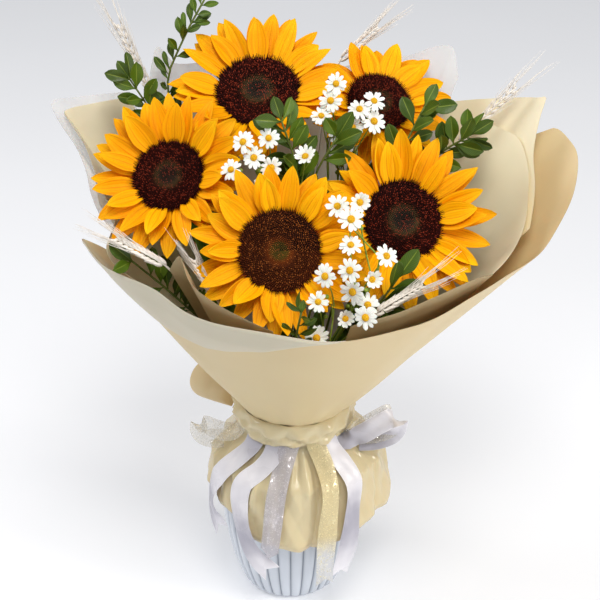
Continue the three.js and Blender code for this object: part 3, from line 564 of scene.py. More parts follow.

# %% [markdown]
# Satin is woven so that its threads run long across the face: the highlight is soft and the edges are a
# little corded. Bands of light and shade along the ribbon are painted into its colour, as painted sheen.
# This satin is thin enough for the paper to show faintly through it.
# Organza is a sheer net with glitter, drawn as small bright cells, and towards its end the gold one turns
# silver.

# %% Ribbons


def satin_finish(name, white, shade, alpha):
    f = Finish(name, Specular_IOR_Level=0.6, Sheen_Weight=0.35, Sheen_Roughness=0.3)
    u, v = f.map("grid")
    rim = (((u - 0.5).size() * 2.0 - 0.92) * 12.0).kept()
    own, _ = f.map("own")
    soft = f.noise(40.0, 2.0)
    threads = (u * 420.0).wave()
    # Painted sheen: bands of highlight and shade along the ribbon.
    painted_sheen_bands = ((v * 8.0 + own * 9.0 + soft * 3.0).wave() * 0.5 + 0.5) ** 1.4
    f.colour(f.mix((painted_sheen_bands * 0.8 + soft * 0.3 - 0.12).kept(), rgb(white), rgb(shade)))
    f.rough(0.22 + soft * 0.12 + rim * 0.2)
    f.bump(threads * 0.03 + rim * 0.5 + soft * 0.8, 0.3, 0.0006)
    f.alpha((rim * 0.2 + alpha).kept())
    return f.material


def organza_finish(name, base, fleck, alpha, end=None):
    f = Finish(name, Specular_IOR_Level=0.7)
    spark = f.node("SeparateColor", {}, {0: f.cells(1500.0, "Color")}, 0)
    bright = spark.over(0.72, 0.1)
    glitter = f.noise(200.0, 2.0).over(0.4, 0.25)
    shine = bright * glitter
    _, v = f.map("grid")
    body = f.mix(v.over(0.62, 0.16), rgb(base), rgb(end or base))
    f.colour(f.mix(shine, body, rgb(fleck)))
    f.rough(0.4 - shine * 0.25)
    feed(f.tree, f.shader.inputs["Metallic"], shine * 0.7)
    f.alpha((shine * 0.5 + alpha).kept())
    f.bump(spark, 0.6, 0.0004)
    return f.material


SATIN = satin_finish("white satin", "#F4F2F8", "#A5A3B3", 0.84)
GOLD_ORGANZA = organza_finish("gold organza", "#E6D6A6", "#FFF4C4", 0.66, "#DCDDE0")
SILVER_ORGANZA = organza_finish("silver organza", "#C9C5CC", "#EFEAF0", 0.5)
BEIGE_ORGANZA = organza_finish("beige organza", "#EEE9DC", "#FFF8E8", 0.26)
print("finishes:", SATIN.name, GOLD_ORGANZA.name)

# %% [markdown]
# The vase has a clear glaze over a white body, faintly blue, and the grooves between the ribs are painted a
# darker grey as shade. How deep each point lies is the sheet's own number here.

# %% Glaze


def glaze_finish(name, white, groove):
    f = Finish(name, Specular_IOR_Level=0.5, Coat_Weight=0.5, Coat_Roughness=0.08)
    own, _ = f.map("own")
    cloud = f.noise(25.0, 2.0)
    # Deeper points in the grooves get darker grey: painted shade.
    f.colour(f.mix((own * 1.1 + cloud * 0.15).kept(), rgb(white), rgb(groove)))
    f.rough(0.18 + cloud * 0.12)
    f.bump(cloud, 0.15, 0.0005)
    return f.material


GLAZE = glaze_finish("blue-white glaze", "#D6DDE7", "#7F8796")
print("finish:", GLAZE.name)

# %% [markdown]
# ## Camera, floor and light
# The photograph looks 30 degrees down on the bunch through a long lens. A lamp high in front and
# one on the right light it, so that the paper cone darkens towards the left. One high on the left
# reaches into the open cone, and a pale world and a floor with a faint glow of its own keep the
# shadows soft. Colours are shown as they are, because golden petals turn pale in a film-like view.

# %% Camera, floor and lamps
camera = bpy.data.objects.new("camera", bpy.data.cameras.new("camera"))
camera.data.lens, camera.data.sensor_width = 90, 36
camera.location = (0.008, -1.056, 0.890)
camera.rotation_euler = (math.radians(60), 0, 0)
bpy.context.scene.collection.objects.link(camera)
bpy.context.scene.camera = camera
bpy.context.scene.view_settings.view_transform = "Standard"


def lamp(name, at, aim, size, power, tone):
    light = bpy.data.objects.new(name, bpy.data.lights.new(name, "AREA"))
    light.data.size, light.data.energy = size, power
    light.data.color = rgb(tone)[:3]
    light.location = at
    light.rotation_euler = (Vector(aim) - Vector(at)).to_track_quat("-Z", "Y").to_euler()
    bpy.context.scene.collection.objects.link(light)


lamp("key", (1.6, -0.7, 1.0), (0, 0, 0.3), 0.5, 15, "#FFFBF4")
lamp("top front", (0.15, -0.95, 2.0), (0, 0, 0.38), 0.8, 24, "#FFFDF8")
lamp("top left", (-1.2, 0.1, 1.5), (0.1, 0, 0.4), 0.7, 11, "#FFFFFF")
world = bpy.data.worlds.new("world")
world.use_nodes = True
sky = world.node_tree.nodes["Background"]
sky.inputs["Color"].default_value = rgb("#F0F2F6")
sky.inputs["Strength"].default_value = 0.36
bpy.context.scene.world = world

ground = bmesh.new()
bmesh.ops.create_grid(ground, x_segments=8, y_segments=8, size=4)
floor_mesh = bpy.data.meshes.new("floor")
ground.to_mesh(floor_mesh)
ground.free()
floor = bpy.data.objects.new("floor", floor_mesh)
bpy.context.scene.collection.objects.link(floor)
matt = Finish("floor white", Roughness=0.9, Emission_Color=rgb("#F2F4F8"), Emission_Strength=0.31)
matt.colour(matt.mix(matt.noise(3.0), rgb("#D6D7DA"), rgb("#DEDEE1")))
floor_mesh.materials.append(matt.material)

# %% [markdown]
# ## The vase
# Its wall is one closed profile turned about the axis: up the outside, over the lip and down the
# inside. A spin would turn a plain profile, but the ribs change the radius on the way round, so a
# grid is rolled up and its seam is closed. Each of the 32 ribs bulges, so the radius drops
# steeply only in the grooves between.

# %% Vase
RIBS = 32
RIB_DEPTH = 2.2
VASE_FLOOR = 7
VASE_OUTSIDE = [
    (0, 0), (34, 0), (38.6, 0.3), (40.4, 1.6), (43.5, 5), (47.6, 16), (52, 30), (55.6, 47),
    (58.5, 66), (60.2, 92), (60.5, 117), (59.9, 119.3), (58.6, 120)]
VASE_INSIDE = [
    (57.2, 119.4), (56.5, 116), (55.2, 90), (54, 66), (50.6, 47), (47, 30), (43, 18), (38, 8),
    (34, VASE_FLOOR), (0, VASE_FLOOR)]


def groove(u):
    """0 on a rib's back and 1 at the bottom of the groove beside it."""
    q = abs(2 * ((u * RIBS) % 1.0) - 1)
    return 0.6 * q ** 2 + 0.4 * q ** 8


def build_vase():
    bm = bmesh.new()
    profile = VASE_OUTSIDE + VASE_INSIDE
    last = len(profile) - 1
    ribbed = range(3, len(VASE_OUTSIDE) - 1)    # above the foot and below the lip

    def place(u, v):
        k = round(v * last)
        r, z = profile[k]
        r -= RIB_DEPTH * groove(u) if k in ribbed else 0
        return round_axis(2 * math.pi * u, r, z)

    # How deep a point lies in a groove, which the glaze paints darker as shade.
    def tint(u, v):
        deep = groove(u) ** 2 if round(v * last) in ribbed else 0.0
        return deep, deep

    close_seam(bm, patch(bm, RIBS * 12, last, place, tint), 0.001)
    piece("vase_ribbed", bm, GLAZE, ["vase"])


build_vase()

# %% [markdown]
# ## Paper
# Every sheet is a part of a cone that starts at the tied neck and opens to its own rim. A cloth
# simulation would let it sag, but this paper is stiff and keeps the form in which it was rolled,
# so straight lines from neck to rim are truer. Near the neck it is gathered into little pleats.
# All sheets share one rule for the pleats, which depends only on the direction and the height, so
# sheets that lie on each other never cross.

# %% A sheet of the cone


def pleated(azimuth, z):
    """How far the gathered paper stands out or in, in a direction and at a height."""
    a = math.radians(azimuth)
    rise = z - NECK["z"]
    gather = ease((rise - 1) / 16) * (1 - 0.85 * ease((rise - 18) / 60))
    belly = ease(rise / 50) * (1 - ease((rise - 50) / 90))
    folds = 0.6 * math.sin(7 * a + 0.6) + 0.3 * math.sin(17 * a + 2.1)
    slack = math.sin(3 * a + 0.4) * 0.8 + math.sin(7 * a + 2.0) * 0.5
    return 1.5 * gather * folds + belly * (2.2 + slack)


def cone_point(rim, layer, azimuth, rise, out=0.0):
    """A point on a sheet: `rise` is 0 at the neck and 1 at the rim; below 0 it is inside the tie."""
    neck = NECK["radius"] - layer * NECK["layer"]
    if rise < 0:
        return polar(azimuth, neck + out, NECK["z"] + rise * (NECK["z"] - NECK["bottom"]))
    reach = along(rim, azimuth, 1) - neck
    height = along(rim, azimuth, 2) - NECK["z"]
    lean = math.atan2(reach, height)
    z = NECK["z"] + height * rise
    push = out + pleated(azimuth, z)
    return polar(azimuth, neck + reach * rise + push * math.cos(lean), z - push * math.sin(lean))


print("deepest pleat, 15 mm above the neck:",
      round(max(pleated(azimuth, NECK["z"] + 15) for azimuth in range(360)), 1), "mm")

# %% [markdown]
# Each sheet is then only a short list: its layer from the outside in, its stuff, and its rim as
# rows of direction in degrees, distance from the middle and height. A smooth line runs through
# the rows, so a round stretch needs few of them, and a corner needs several close together.

# %% The sheets and their rims
SHEETS = {
    "paper_front": [0, "cream", [
        [-93, 148, 320], [-89, 157, 332], [-85, 166, 343], [-80, 163, 346], [-70, 155, 344],
        [-47, 141, 344], [-33, 140, 338],
        [-16, 141, 334], [0, 142, 331], [12, 144, 328], [35, 152, 329], [53, 157, 334],
        [66, 174, 340], [77, 194, 346], [84, 206, 360], [91, 219, 378], [97, 225.5, 397],
        [101, 222, 405], [103.4, 215, 410], [104.6, 208, 406], [108, 197, 396], [113, 184, 384]]],
    "paper_right": [1, "pale", [
        [84, 184, 356], [92, 190, 379], [98, 192, 401], [101.6, 199.5, 426], [102.8, 204.5, 437.5],
        [104.4, 200, 436], [108, 193, 432.5], [114, 183, 426], [124, 166.5, 416], [134, 150, 405]]],
    "paper_right_inner": [2, "pale", [
        [62, 158, 338], [70, 171, 350], [80, 180, 361], [90, 184, 374], [95, 185.5, 388],
        [100, 183, 403], [102.4, 179, 409], [106, 171, 411], [112, 160, 414], [120, 146, 408]]],
    "paper_back": [0, "cream", [
        [116, 186, 396], [126, 172, 402], [138, 153, 405], [150, 139, 405], [166, 126, 408],
        [180, 122, 410], [196, 125, 410], [212, 134, 410], [226, 150, 408], [238, 166, 400],
        [250, 168, 384], [260, 160, 366], [264, 156, 358]]],
    "tissue_back": [2, "tissue", [
        [122, 158, 440], [125, 157, 463], [139, 140, 450], [153, 124, 442], [167, 113, 436],
        [180, 108, 438], [196, 109, 442], [208, 117, 447], [227, 130, 450], [233, 137, 466],
        [238, 138, 440]]],
    "paper_left": [2, "pale", [
        [-120, 154, 425], [-114, 162, 427], [-108, 173, 428.5], [-104.4, 182, 429],
        [-102.8, 185, 427], [-101, 175, 420], [-97, 163, 408], [-92, 154, 394], [-88, 149, 384],
        [-82, 140, 366], [-79, 143, 359], [-74, 150, 351], [-70, 150, 347], [-64, 147, 346],
        [-58, 143, 345], [-52, 139, 343]]],
    "tissue_left": [1, "tissue", [
        [-122, 156, 428], [-114, 167, 432], [-107, 184, 434.5], [-104.2, 195.5, 435],
        [-102.8, 197, 432], [-100, 187, 421], [-97, 174, 410], [-92, 162, 395], [-86, 156, 382],
        [-80, 150, 371]]],
    "tissue_front_left": [1, "painted_shade", [
        [-47, 124, 356], [-40, 127, 374], [-32, 139, 362], [-24, 139, 350], [-14, 137, 340],
        [-6, 137, 334]]],
    "tissue_front_right": [1, "painted_shade", [
        [18, 136, 332], [30, 146, 342], [41, 150, 347], [56, 163, 350], [63, 168, 346]]],
}
PAPER_WALL = 0.35
TUCKED = 0.12       # the share of a sheet's grid that lies below the neck


def build_sheet(name):
    layer, stuff, rim = SHEETS[name]
    bm = bmesh.new()
    first, last = rim[0][0], rim[-1][0]
    fine = max(48, round((last - first) * 1.6))

    def place(u, v):
        azimuth = first + (last - first) * u
        rise = -1 + v / TUCKED if v < TUCKED else (v - TUCKED) / (1 - TUCKED)
        flutter = 1.2 * ease((rise - 0.7) / 0.3) * math.sin(math.radians(azimuth) * 9 + 2 * layer)
        return cone_point(rim, layer, azimuth, rise, flutter)

    patch(bm, fine, 42, place)
    finish = {"cream": CREAM, "pale": PALE, "tissue": TISSUE, "painted_shade": PAINTED_SHADE_TISSUE}[stuff]
    wall = 0.15 if stuff == "tissue" else PAPER_WALL
    piece(f"{name}_sheet", bm, finish, [name], wall, 0)


for sheet_name in SHEETS:
    build_sheet(sheet_name)

# %% [markdown]
# The front sheet's rim is turned over outwards. The turned edge is wide at the left and runs out
# to nothing at the right, and it springs a few millimetres off the cone. It is a grid of its own
# that starts on the rim and runs down outside the sheet, because the paper's other side is paler.

# %% The turned-over rim
LIP_WIDTH = [
    [-86, 40], [-80, 52], [-66, 60], [-52, 65], [-45, 64], [-40, 60], [-35, 55], [-30, 49],
    [-25, 44], [-20, 38], [-15, 32], [-10, 28], [-5, 21], [0, 14], [5, 8], [10, 3.5], [15, 1]]


def build_lip():
    bm = bmesh.new()
    rim = SHEETS["paper_front"][2]
    first, last = LIP_WIDTH[0][0], LIP_WIDTH[-1][0]

    def place(u, v):
        azimuth = first + (last - first) * u
        reach = along(rim, azimuth, 1) - NECK["radius"]
        height = along(rim, azimuth, 2) - NECK["z"]
        slant = math.hypot(reach, height)
        down = along(LIP_WIDTH, azimuth, 1) * v
        flutter = 1.2 * math.sin(math.radians(azimuth) * 9)
        free = 0.9 + 2.2 * ease((azimuth + 80) / 30)
        spring = 1.4 * ease(down / 2.5)
        spring += free * math.sin(math.pi * clamp(v * 0.95)) * clamp(down / 20)
        return cone_point(rim, 0, azimuth, 1.004 - down / slant, flutter * (1 - v) + spring)

    patch(bm, 110, 22, lambda u, v: place(1 - u, v))
    piece("paper_lip", bm, LIP, ["paper_front"], PAPER_WALL, 0)


build_lip()

# %% [markdown]
# A corner of the same paper stands out at the left, just above the tie: a small rounded flap
# with a fold across it. Two edge curves are drawn, and the grid between them bulges to the front.

# %% The corner at the left
CORNER_OUTER = [
    (-64, 12, 217), (-78, 12, 211), (-84.5, 12, 199), (-85, 12, 189), (-80.5, 12, 181),
    (-68, 12, 175), (-52, 12, 169)]
CORNER_INNER = [
    (-64, 12, 217), (-56.4, 12, 208), (-48.4, 12, 197), (-46, 9, 192), (-47, 10, 185),
    (-48, 11, 176), (-50, 12, 169)]


def build_corner():
    bm = bmesh.new()
    outer, inner = ([Vector(p) for p in side] for side in (CORNER_OUTER, CORNER_INNER))

    def place(u, v):
        share = min(v, 0.999)
        p = spline(outer, share).lerp(spline(inner, share), u)
        body = math.sin(math.pi * clamp(v * 0.94 + 0.03))
        fold = 5.5 * math.sin(math.pi * clamp(u * 1.1)) ** 0.8 * body
        tent = 1 - abs(2 * ((u * 1.4 + 0.8 * v) % 1.0) - 1)
        crease = 1.6 * tent * math.sin(math.pi * u) * body
        return p + Vector((0, -fold - crease, 0))

    patch(bm, 28, 30, lambda u, v: place(u, 1 - v))
    piece("paper_corner", bm, CREAM, ["paper_fold"], PAPER_WALL, 0)


build_corner()

# %% [markdown]
# Below the tie the paper falls over the vase as a skirt. Its mean surface comes first: from the
# gather it swells out over the vase's rim and runs down to a hem that dips and rises. The ribbons
# read this surface too, because they lie on it.

# %% The skirt's mean surface
# Its layer over the sheets, the heights where it is gathered and where it swells, how deep its
# folds are, and its hem as rows of direction, distance from the middle and height.
SKIRT = {"layer": 1.6, "gather": 164, "swell": 138, "depth": 2.2, "hem": [
    [-180, 76, 92], [-150, 74, 98], [-120, 75, 106], [-90, 75, 103], [-60, 72, 100],
    [-30, 74, 88], [-8, 76, 81], [14, 75, 79], [34, 75, 86], [58, 80, 90], [83, 83, 88],
    [110, 80, 96], [150, 76, 96], [180, 76, 92]]}


def skirt_radius(azimuth, z):
    """How far the skirt stands out at a height, or the line below its hem that it points down."""
    hem, radius = along(SKIRT["hem"], azimuth, 2), along(SKIRT["hem"], azimuth, 1)
    if z < hem:
        return radius - 0.12 * (hem - z)
    neck = NECK["radius"] + SKIRT["layer"]
    keys = [[hem, radius], [SKIRT["swell"], neck + 0.74 * (radius - neck)],
            [SKIRT["gather"], neck], [NECK["z"], neck]]
    i = next(k for k in range(3) if k == 2 or z <= keys[k + 1][0])
    t = clamp((z - keys[i][0]) / (keys[i + 1][0] - keys[i][0]))
    return keys[i][1] + t * (keys[i + 1][1] - keys[i][1])


print("the skirt at the front:", [round(skirt_radius(0, z), 1) for z in (90, 120, 150)], "mm out")

# %% [markdown]
# The skirt has a few broad round folds that go down to the hem, flat facets that cross them
# aslant, and many short sharp creases, which start at the gather and run out at different heights.
# Each crease is a straight ridge like a tent. A cloth simulation gives soft waves, but thin waxed
# paper breaks into such ridges, so they are written as sharp waves. All of them fade out just
# under the tie, where the paper is pulled tight and the ribbons lie on it.

# %% The skirt's folds
CREASE_COUNT = 44


def crease(k):
    """One of the creases: where it is, its slant and width in degrees, and its reach downwards."""
    return {"azimuth": -180 + 360 * (k + 0.7 * draw(k)) / CREASE_COUNT, "slant": 17 * draw(k + 0.1),
            "width": 5.2 + 2 * draw(k + 0.2), "start": 0.06 + 0.1 * draw(k + 0.3) - 0.3 * (k % 2),
            "end": 0.72 + 0.4 * draw(k + 0.4), "height": 2.3 + 0.9 * draw(k + 0.5)}


CREASES = [crease(k) for k in range(CREASE_COUNT)]
TIED_WALL = 0.4


def zigzag(x):
    """A sharp wave between -1 and 1."""
    return 1 - 4 * abs(x % 1.0 - 0.5)


def skirt_pleat(azimuth, z):
    """The folds' height off the skirt's mean surface."""
    a = math.radians(azimuth)
    below = SKIRT["gather"] + 4 - z
    fall = below / 74
    folds = 10 * (a + 0.2 * fall) / (2 * math.pi) + 0.22 * math.sin(2 * a + 1) + 0.1 * math.sin(5 * a)
    height = 2.6 * (2 * abs(math.sin(math.pi * folds)) ** 0.7 - 1) * ease(fall * 2)
    facets = 1.0 * zigzag(azimuth / 24 + 1.1 * fall) + 0.8 * zigzag(azimuth / 15 - 1.7 * fall + 0.3)
    height += facets * ease(fall * 3)
    for line in CREASES:
        off = (azimuth - line["azimuth"] - line["slant"] * fall + 180) % 360 - 180
        if abs(off) < line["width"]:
            tent = 1 - abs(off) / line["width"]
            height += (line["height"] * tent * ease((fall - line["start"]) / 0.16)
                       * ease((line["end"] - fall) / 0.3))
    return (height - 0.8) * ease(below / 12)


def build_skirt():
    bm = bmesh.new()

    def place(u, v):
        azimuth = -180 + 360 * u
        a = math.radians(azimuth)
        hem = along(SKIRT["hem"], azimuth, 2) + 1.2 * math.sin(5 * a + 1)
        z = hem + (NECK["z"] - 3 - hem) * v
        turn_in = 2.5 * ease((hem + 5 - z) / 5)
        return polar(azimuth, skirt_radius(azimuth, z) + skirt_pleat(azimuth, z) - turn_in, z)

    bmesh.ops.remove_doubles(bm, verts=patch(bm, 480, 44, place), dist=0.01)
    piece("paper_skirt_pleated", bm, SATIN_PAPER, ["paper_skirt"], TIED_WALL, 0)


build_skirt()

# %% [markdown]
# A narrow folded collar of paper hides the ribbons' knot. It stands out round the tails, closes in
# on the cone at its upper edge, and its folds run aslant, because it was twisted as it was tied.
# Its faces are few and are shaded flat, so that they read as the facets of crumpled paper.

# %% Collar
BAND = {"bottom": 168.5, "shoulder": 180, "top": 188, "layer": 7.4, "close": 3.2, "rise": 6}


def build_collar():
    bm = bmesh.new()

    def place(u, v):
        a = 2 * math.pi * u - math.pi
        lift = BAND["rise"] * (1 - math.cos(a)) / 2
        folds = (1.5 * zigzag(9 * u + 1.3 * v + 0.2 * math.sin(3 * a))
                 + 1.3 * zigzag(14 * u - 1.6 * v + 0.3) + 0.5 * zigzag(23 * u + 1.2 * v))
        radius = NECK["radius"] + BAND["layer"]
        if v < 0.7:
            t = v / 0.7
            low = BAND["bottom"] + 1.2 * math.sin(5 * a + 1) + 0.6 * math.sin(11 * a)
            r = radius - 1.2 + 1.6 * math.sin(math.pi * t / 2)
            z = low + (BAND["shoulder"] - low) * t + lift
        else:
            quarter = math.pi / 2 * (v - 0.7) / 0.3
            crest = radius + 0.4
            r = crest + (NECK["radius"] + BAND["close"] - crest) * (1 - math.cos(quarter))
            over = BAND["top"] - BAND["shoulder"] - 0.6 * lift
            z = BAND["shoulder"] + lift + over * math.sin(quarter)
        return polar(math.degrees(a), r + folds * (1 - 0.5 * ease((v - 0.75) / 0.25)), z)

    bmesh.ops.remove_doubles(bm, verts=patch(bm, 120, 9, place), dist=0.01)
    bmesh.ops.triangulate(bm, faces=bm.faces)
    for face in bm.faces:
        face.smooth = False
    piece("paper_collar", bm, SATIN_PAPER, ["paper_band"], TIED_WALL, 0)


build_collar()

# %% [markdown]
# ## Ribbons
# A ribbon is a long narrow sheet that follows a curve and keeps its face towards one side. Its cut end is a
# notch or a point. Each length is its own piece of cloth, and its flat size and area are worked out.

# %% A length of ribbon
RIBBON_WALL = 0.22


def walker(points, count=160):
    """A rule that gives the point and the direction at a share of the curve, and its length."""
    fine = route(points, count)

    def at(share):
        x = clamp(share) * count
        k = min(count - 1, int(x))
        ahead = (fine[min(count, k + 1)] - fine[max(0, k - 1)]).normalized()
        return fine[k].lerp(fine[k + 1], x - k), ahead

    length = sum((b - a).length for a, b in zip(fine, fine[1:]))
    return at, length


def square_to_skirt(p, _share=0.0):
    """The way a ribbon faces: out from the neck, and square to the skirt's slope below it."""
    flare = (0.85 * clamp((SKIRT["gather"] + 4 - p.z) / 8)
             - 0.68 * clamp((SKIRT["swell"] + 4 - p.z) / 10))
    flat = Vector((p.x - NECK["x"], p.y, 0)).normalized()
    return (flat + UP * flare).normalized()


def ribbon(name, points, width, finish, node, look=square_to_skirt, cut=0.0, wave=1.3,
           out=0.0):
    """A strip along `points` whose face is turned to look(point, share).

    `cut` is the depth of its notch, or of its point where it is below 0, and `out` moves the
    strip off its route.
    """
    at, length = walker(points)
    bm = bmesh.new()
    steps = max(24, round(length / 2.2))

    def place(u, v):
        s = 2 * u - 1
        share = v - (cut / length) * (1 - abs(s)) * ease((v - 0.6) / 0.4)
        if cut < 0:
            share = v + (cut / length) * abs(s) * ease((v - 0.6) / 0.4)
        p, ahead = at(share)
        n = look(p, share)
        n = (n - ahead * n.dot(ahead)).normalized()
        side = ahead.cross(n)
        lively = wave * math.sin(share * length / 12 + 1.3 * s + length) * ease(share / 0.25)
        arch = -0.6 * s * s + 0.4 * math.cos(4 * s + share * 7) * ease(share / 0.3)
        return p + side * (s * width / 2) + n * (arch + lively + out)

    patch(bm, 12, steps, place, draw(len(name) + length) * 0.5 + 0.5)
    obj = piece(name, bm, finish, [node], RIBBON_WALL)
    flat = (width * MM, length * MM)
    area = width * (length - abs(cut) / 2) * MM * MM


print("a ribbon is", RIBBON_WALL, "mm thick")

# %% [markdown]
# Three satin tails and two of organza fall over the skirt. Their routes are given as directions
# and heights, and the distance out follows from the skirt under them. So a tail still lies on the
# paper when the skirt is changed. The bands run round the neck under the collar, where the cloth
# is pulled into a narrow strip.

# %% Tails and bands


def tail(rows, out):
    """The points of a tail, from under the collar down the skirt."""
    neck = NECK["radius"] + out
    points = []
    for azimuth, z in rows:
        fall = clamp((SKIRT["gather"] + 7 - z) / 8)
        below = skirt_radius(azimuth, z) + out + SKIRT["depth"] + 1
        points.append(polar(azimuth, neck - 0.4 + (below - neck + 0.4) * fall, z))
    return points


SATIN_TAILS = [
    [[-40, 173], [-43, 163], [-50, 152], [-57, 138], [-66, 110], [-64, 92], [-54, 79]],
    [[-18, 173], [-19, 163], [-26, 152], [-36, 138], [-35, 108], [-29, 86], [-23, 71], [-13, 59]],
    [[34, 173], [37, 163], [41, 152], [42, 138], [38, 110], [34, 78], [30, 48]],
]
ORGANZA_TAILS = [
    [[-3, 173], [-6, 165], [-9, 154], [-11, 138], [-13, 106], [-15, 77]],
    [[21, 173], [23, 165], [25, 154], [24, 138], [21, 108], [19, 72], [19, 44]],
]
SATIN_WIDTH, ORGANZA_WIDTH = 17, 16
for number, (rows, cut) in enumerate(zip(SATIN_TAILS, (7, 7, 6)), 1):
    ribbon(f"satin_tail_{number}", tail(rows, 4.0), SATIN_WIDTH, SATIN, "ribbon_satin", cut=cut)
GAUZES = (SILVER_ORGANZA, GOLD_ORGANZA)
for number, (rows, cut, gauze) in enumerate(zip(ORGANZA_TAILS, (-8, 9), GAUZES), 1):
    ribbon(f"organza_tail_{number}", tail(rows, 5.0), ORGANZA_WIDTH, gauze, "ribbon_organza", cut=cut)


def band(name, first, last, radius, z, finish, node):
    """The stretch of a ribbon that runs round the neck, folded to a narrower strip."""
    count = 24
    points = [polar(first + (last - first) * k / count, radius, z) for k in range(count + 1)]
    ribbon(name, points, 10, finish, node, wave=0.1)


band("satin_band", -178, 178, 45.6, 174, SATIN, "ribbon_satin")
band("organza_band", -75, 32, 46.6, 175, GOLD_ORGANZA, "ribbon_organza")

# %% [markdown]
# A loop of the bow stands out on each side. It goes out and up with its face to the front, turns
# round at its far end, and comes back underneath with the other face to the front. A strip of
# beige organza lies behind the satin.

# %% Loops
SATIN_LOOP = [
    [49, 45.6, 173], [51, 47, 166], [55, 56, 165], [60, 68, 173], [64, 80, 183], [67, 89, 188],
    [69.5, 92, 181], [70, 89, 171], [69.5, 80, 164], [68, 70, 160], [65, 60, 159]]
BEIGE_LOOP = [[a + 2, r - 3, z + 3] for a, r, z in SATIN_LOOP[1:]]
ORGANZA_LOOP = [
    [-69, 46.8, 175], [-71, 48.6, 166], [-73, 57, 162], [-76, 67, 164], [-78, 75, 168],
    [-80, 80, 168], [-82, 82, 161], [-82, 78, 154], [-81, 69, 151], [-79, 61, 152]]


def loop(name, rows, width, finish, node, turned, out=0.0):
    """A loop whose face looks up in the direction `turned`, and rolls over at its far end."""
    points = [polar(*row) for row in rows]
    outward = (points[5] - points[1]).normalized()
    front = facing(turned, 32)

    def look(p, share):
        swing = ease((share - 0.14) / 0.12)
        roll = math.pi * ease((share - 0.42) / 0.24)
        face = front * math.cos(roll) + outward * math.sin(roll)
        return square_to_skirt(p) * (1 - swing) + face * swing

    ribbon(name, points, width, finish, node, look, wave=0.3, out=out)


loop("satin_loop", SATIN_LOOP, SATIN_WIDTH, SATIN, "ribbon_satin", 25)
loop("beige_loop", BEIGE_LOOP, 15, BEIGE_ORGANZA, "ribbon_satin", 25, -2)
loop("organza_loop", ORGANZA_LOOP, ORGANZA_WIDTH, BEIGE_ORGANZA, "ribbon_organza", -25)

# %% [markdown]
# ## Petals and leaves
# Both leave a point along one direction, lift a little and curl back, like a strip bent to part
# of a circle. An outline says how wide they are from base to tip, and a relief puts the creases in.
# One shape could be modelled by hand and copied, but real petals are never alike, and with rules
# each one gets its own length, twist and cup.

# %% A blade


def blade(bm, base, out, up, spec, tint, across=8, steps=10):
    """One petal or leaf from `base` along `out`, with its face to `up`."""
    side = out.cross(up).normalized()
    lift, length = spec["lift"], spec["length"]
    bend = spec["curl"] if abs(spec["curl"]) > 1e-3 else 1e-3
    sway, roll = spec.get("sway", 0.0), spec.get("roll", 0.0)

    def place(u, v):
        s = 2 * u - 1
        angle = lift - bend * v
        run = length * (math.sin(lift) - math.sin(angle)) / bend
        rise = length * (math.cos(angle) - math.cos(lift)) / bend
        normal = up * math.cos(angle) - out * math.sin(angle)
        half = spec["outline"](v) * spec["width"] / 2
        level = side * math.cos(roll * v) + normal * math.sin(roll * v)
        return (base + out * run + up * rise + side * (sway * v * v) + level * (s * half)
                + normal * spec["relief"](s, v, half))

    return patch(bm, across, steps, place, tint)


def ray_outline(v):
    """A ray petal: narrow at its base, broadest at the middle, with a drawn-out blunt tip."""
    body = 0.5 + 0.5 * ease(v / 0.46)
    return body * (1 - clamp((v - 0.46) / 0.54) ** 1.9) ** 0.8 + 0.03


print("ray outline:", [round(ray_outline(k / 4), 2) for k in range(5)])

# %% [markdown]
# A sunflower has 38 ray petals here, in three layers: a low one behind, one over its gaps, and a
# few short petals that stand up round the disc. They start under the disc's edge, at the hub.

# %% Ray petals
HUB = 9             # how far below the disc's face the petals start
# Where the middle of each head is, the way it faces, its disc's radius, its petals' length and
# lift, and the direction in which its stem passes the neck.
SUNFLOWERS = {
    "top": {"at": (-25, 34, 451), "azimuth": -3, "elevation": 58,
            "disc": 32.5, "petal": 43.5, "lift": 34, "neck": 112},
    "left": {"at": (-92, -31, 408), "azimuth": -16, "elevation": 42,
             "disc": 27.5, "petal": 41, "lift": 34, "neck": 184},
    "front": {"at": (-7, -90, 374), "azimuth": 0, "elevation": 33,
              "disc": 30.5, "petal": 39.5, "lift": 27, "neck": 256},
    "right": {"at": (87, -42, 375), "azimuth": 14, "elevation": 38,
              "disc": 31, "petal": 45.5, "lift": 34, "neck": 328},
    "back_right": {"at": (71, 46, 436), "azimuth": 16, "elevation": 54,
                   "disc": 25.5, "petal": 37, "lift": 16, "neck": 40},
}
LAYERS = [
    {"height": -HUB - 2, "lift": -12, "count": 15, "long": 1.05, "loose": 5},
    {"height": -HUB, "lift": 0, "count": 15, "long": 1.0, "loose": 6},
    {"height": -HUB + 1.2, "lift": 6, "count": 8, "long": 0.88, "loose": 7},
]


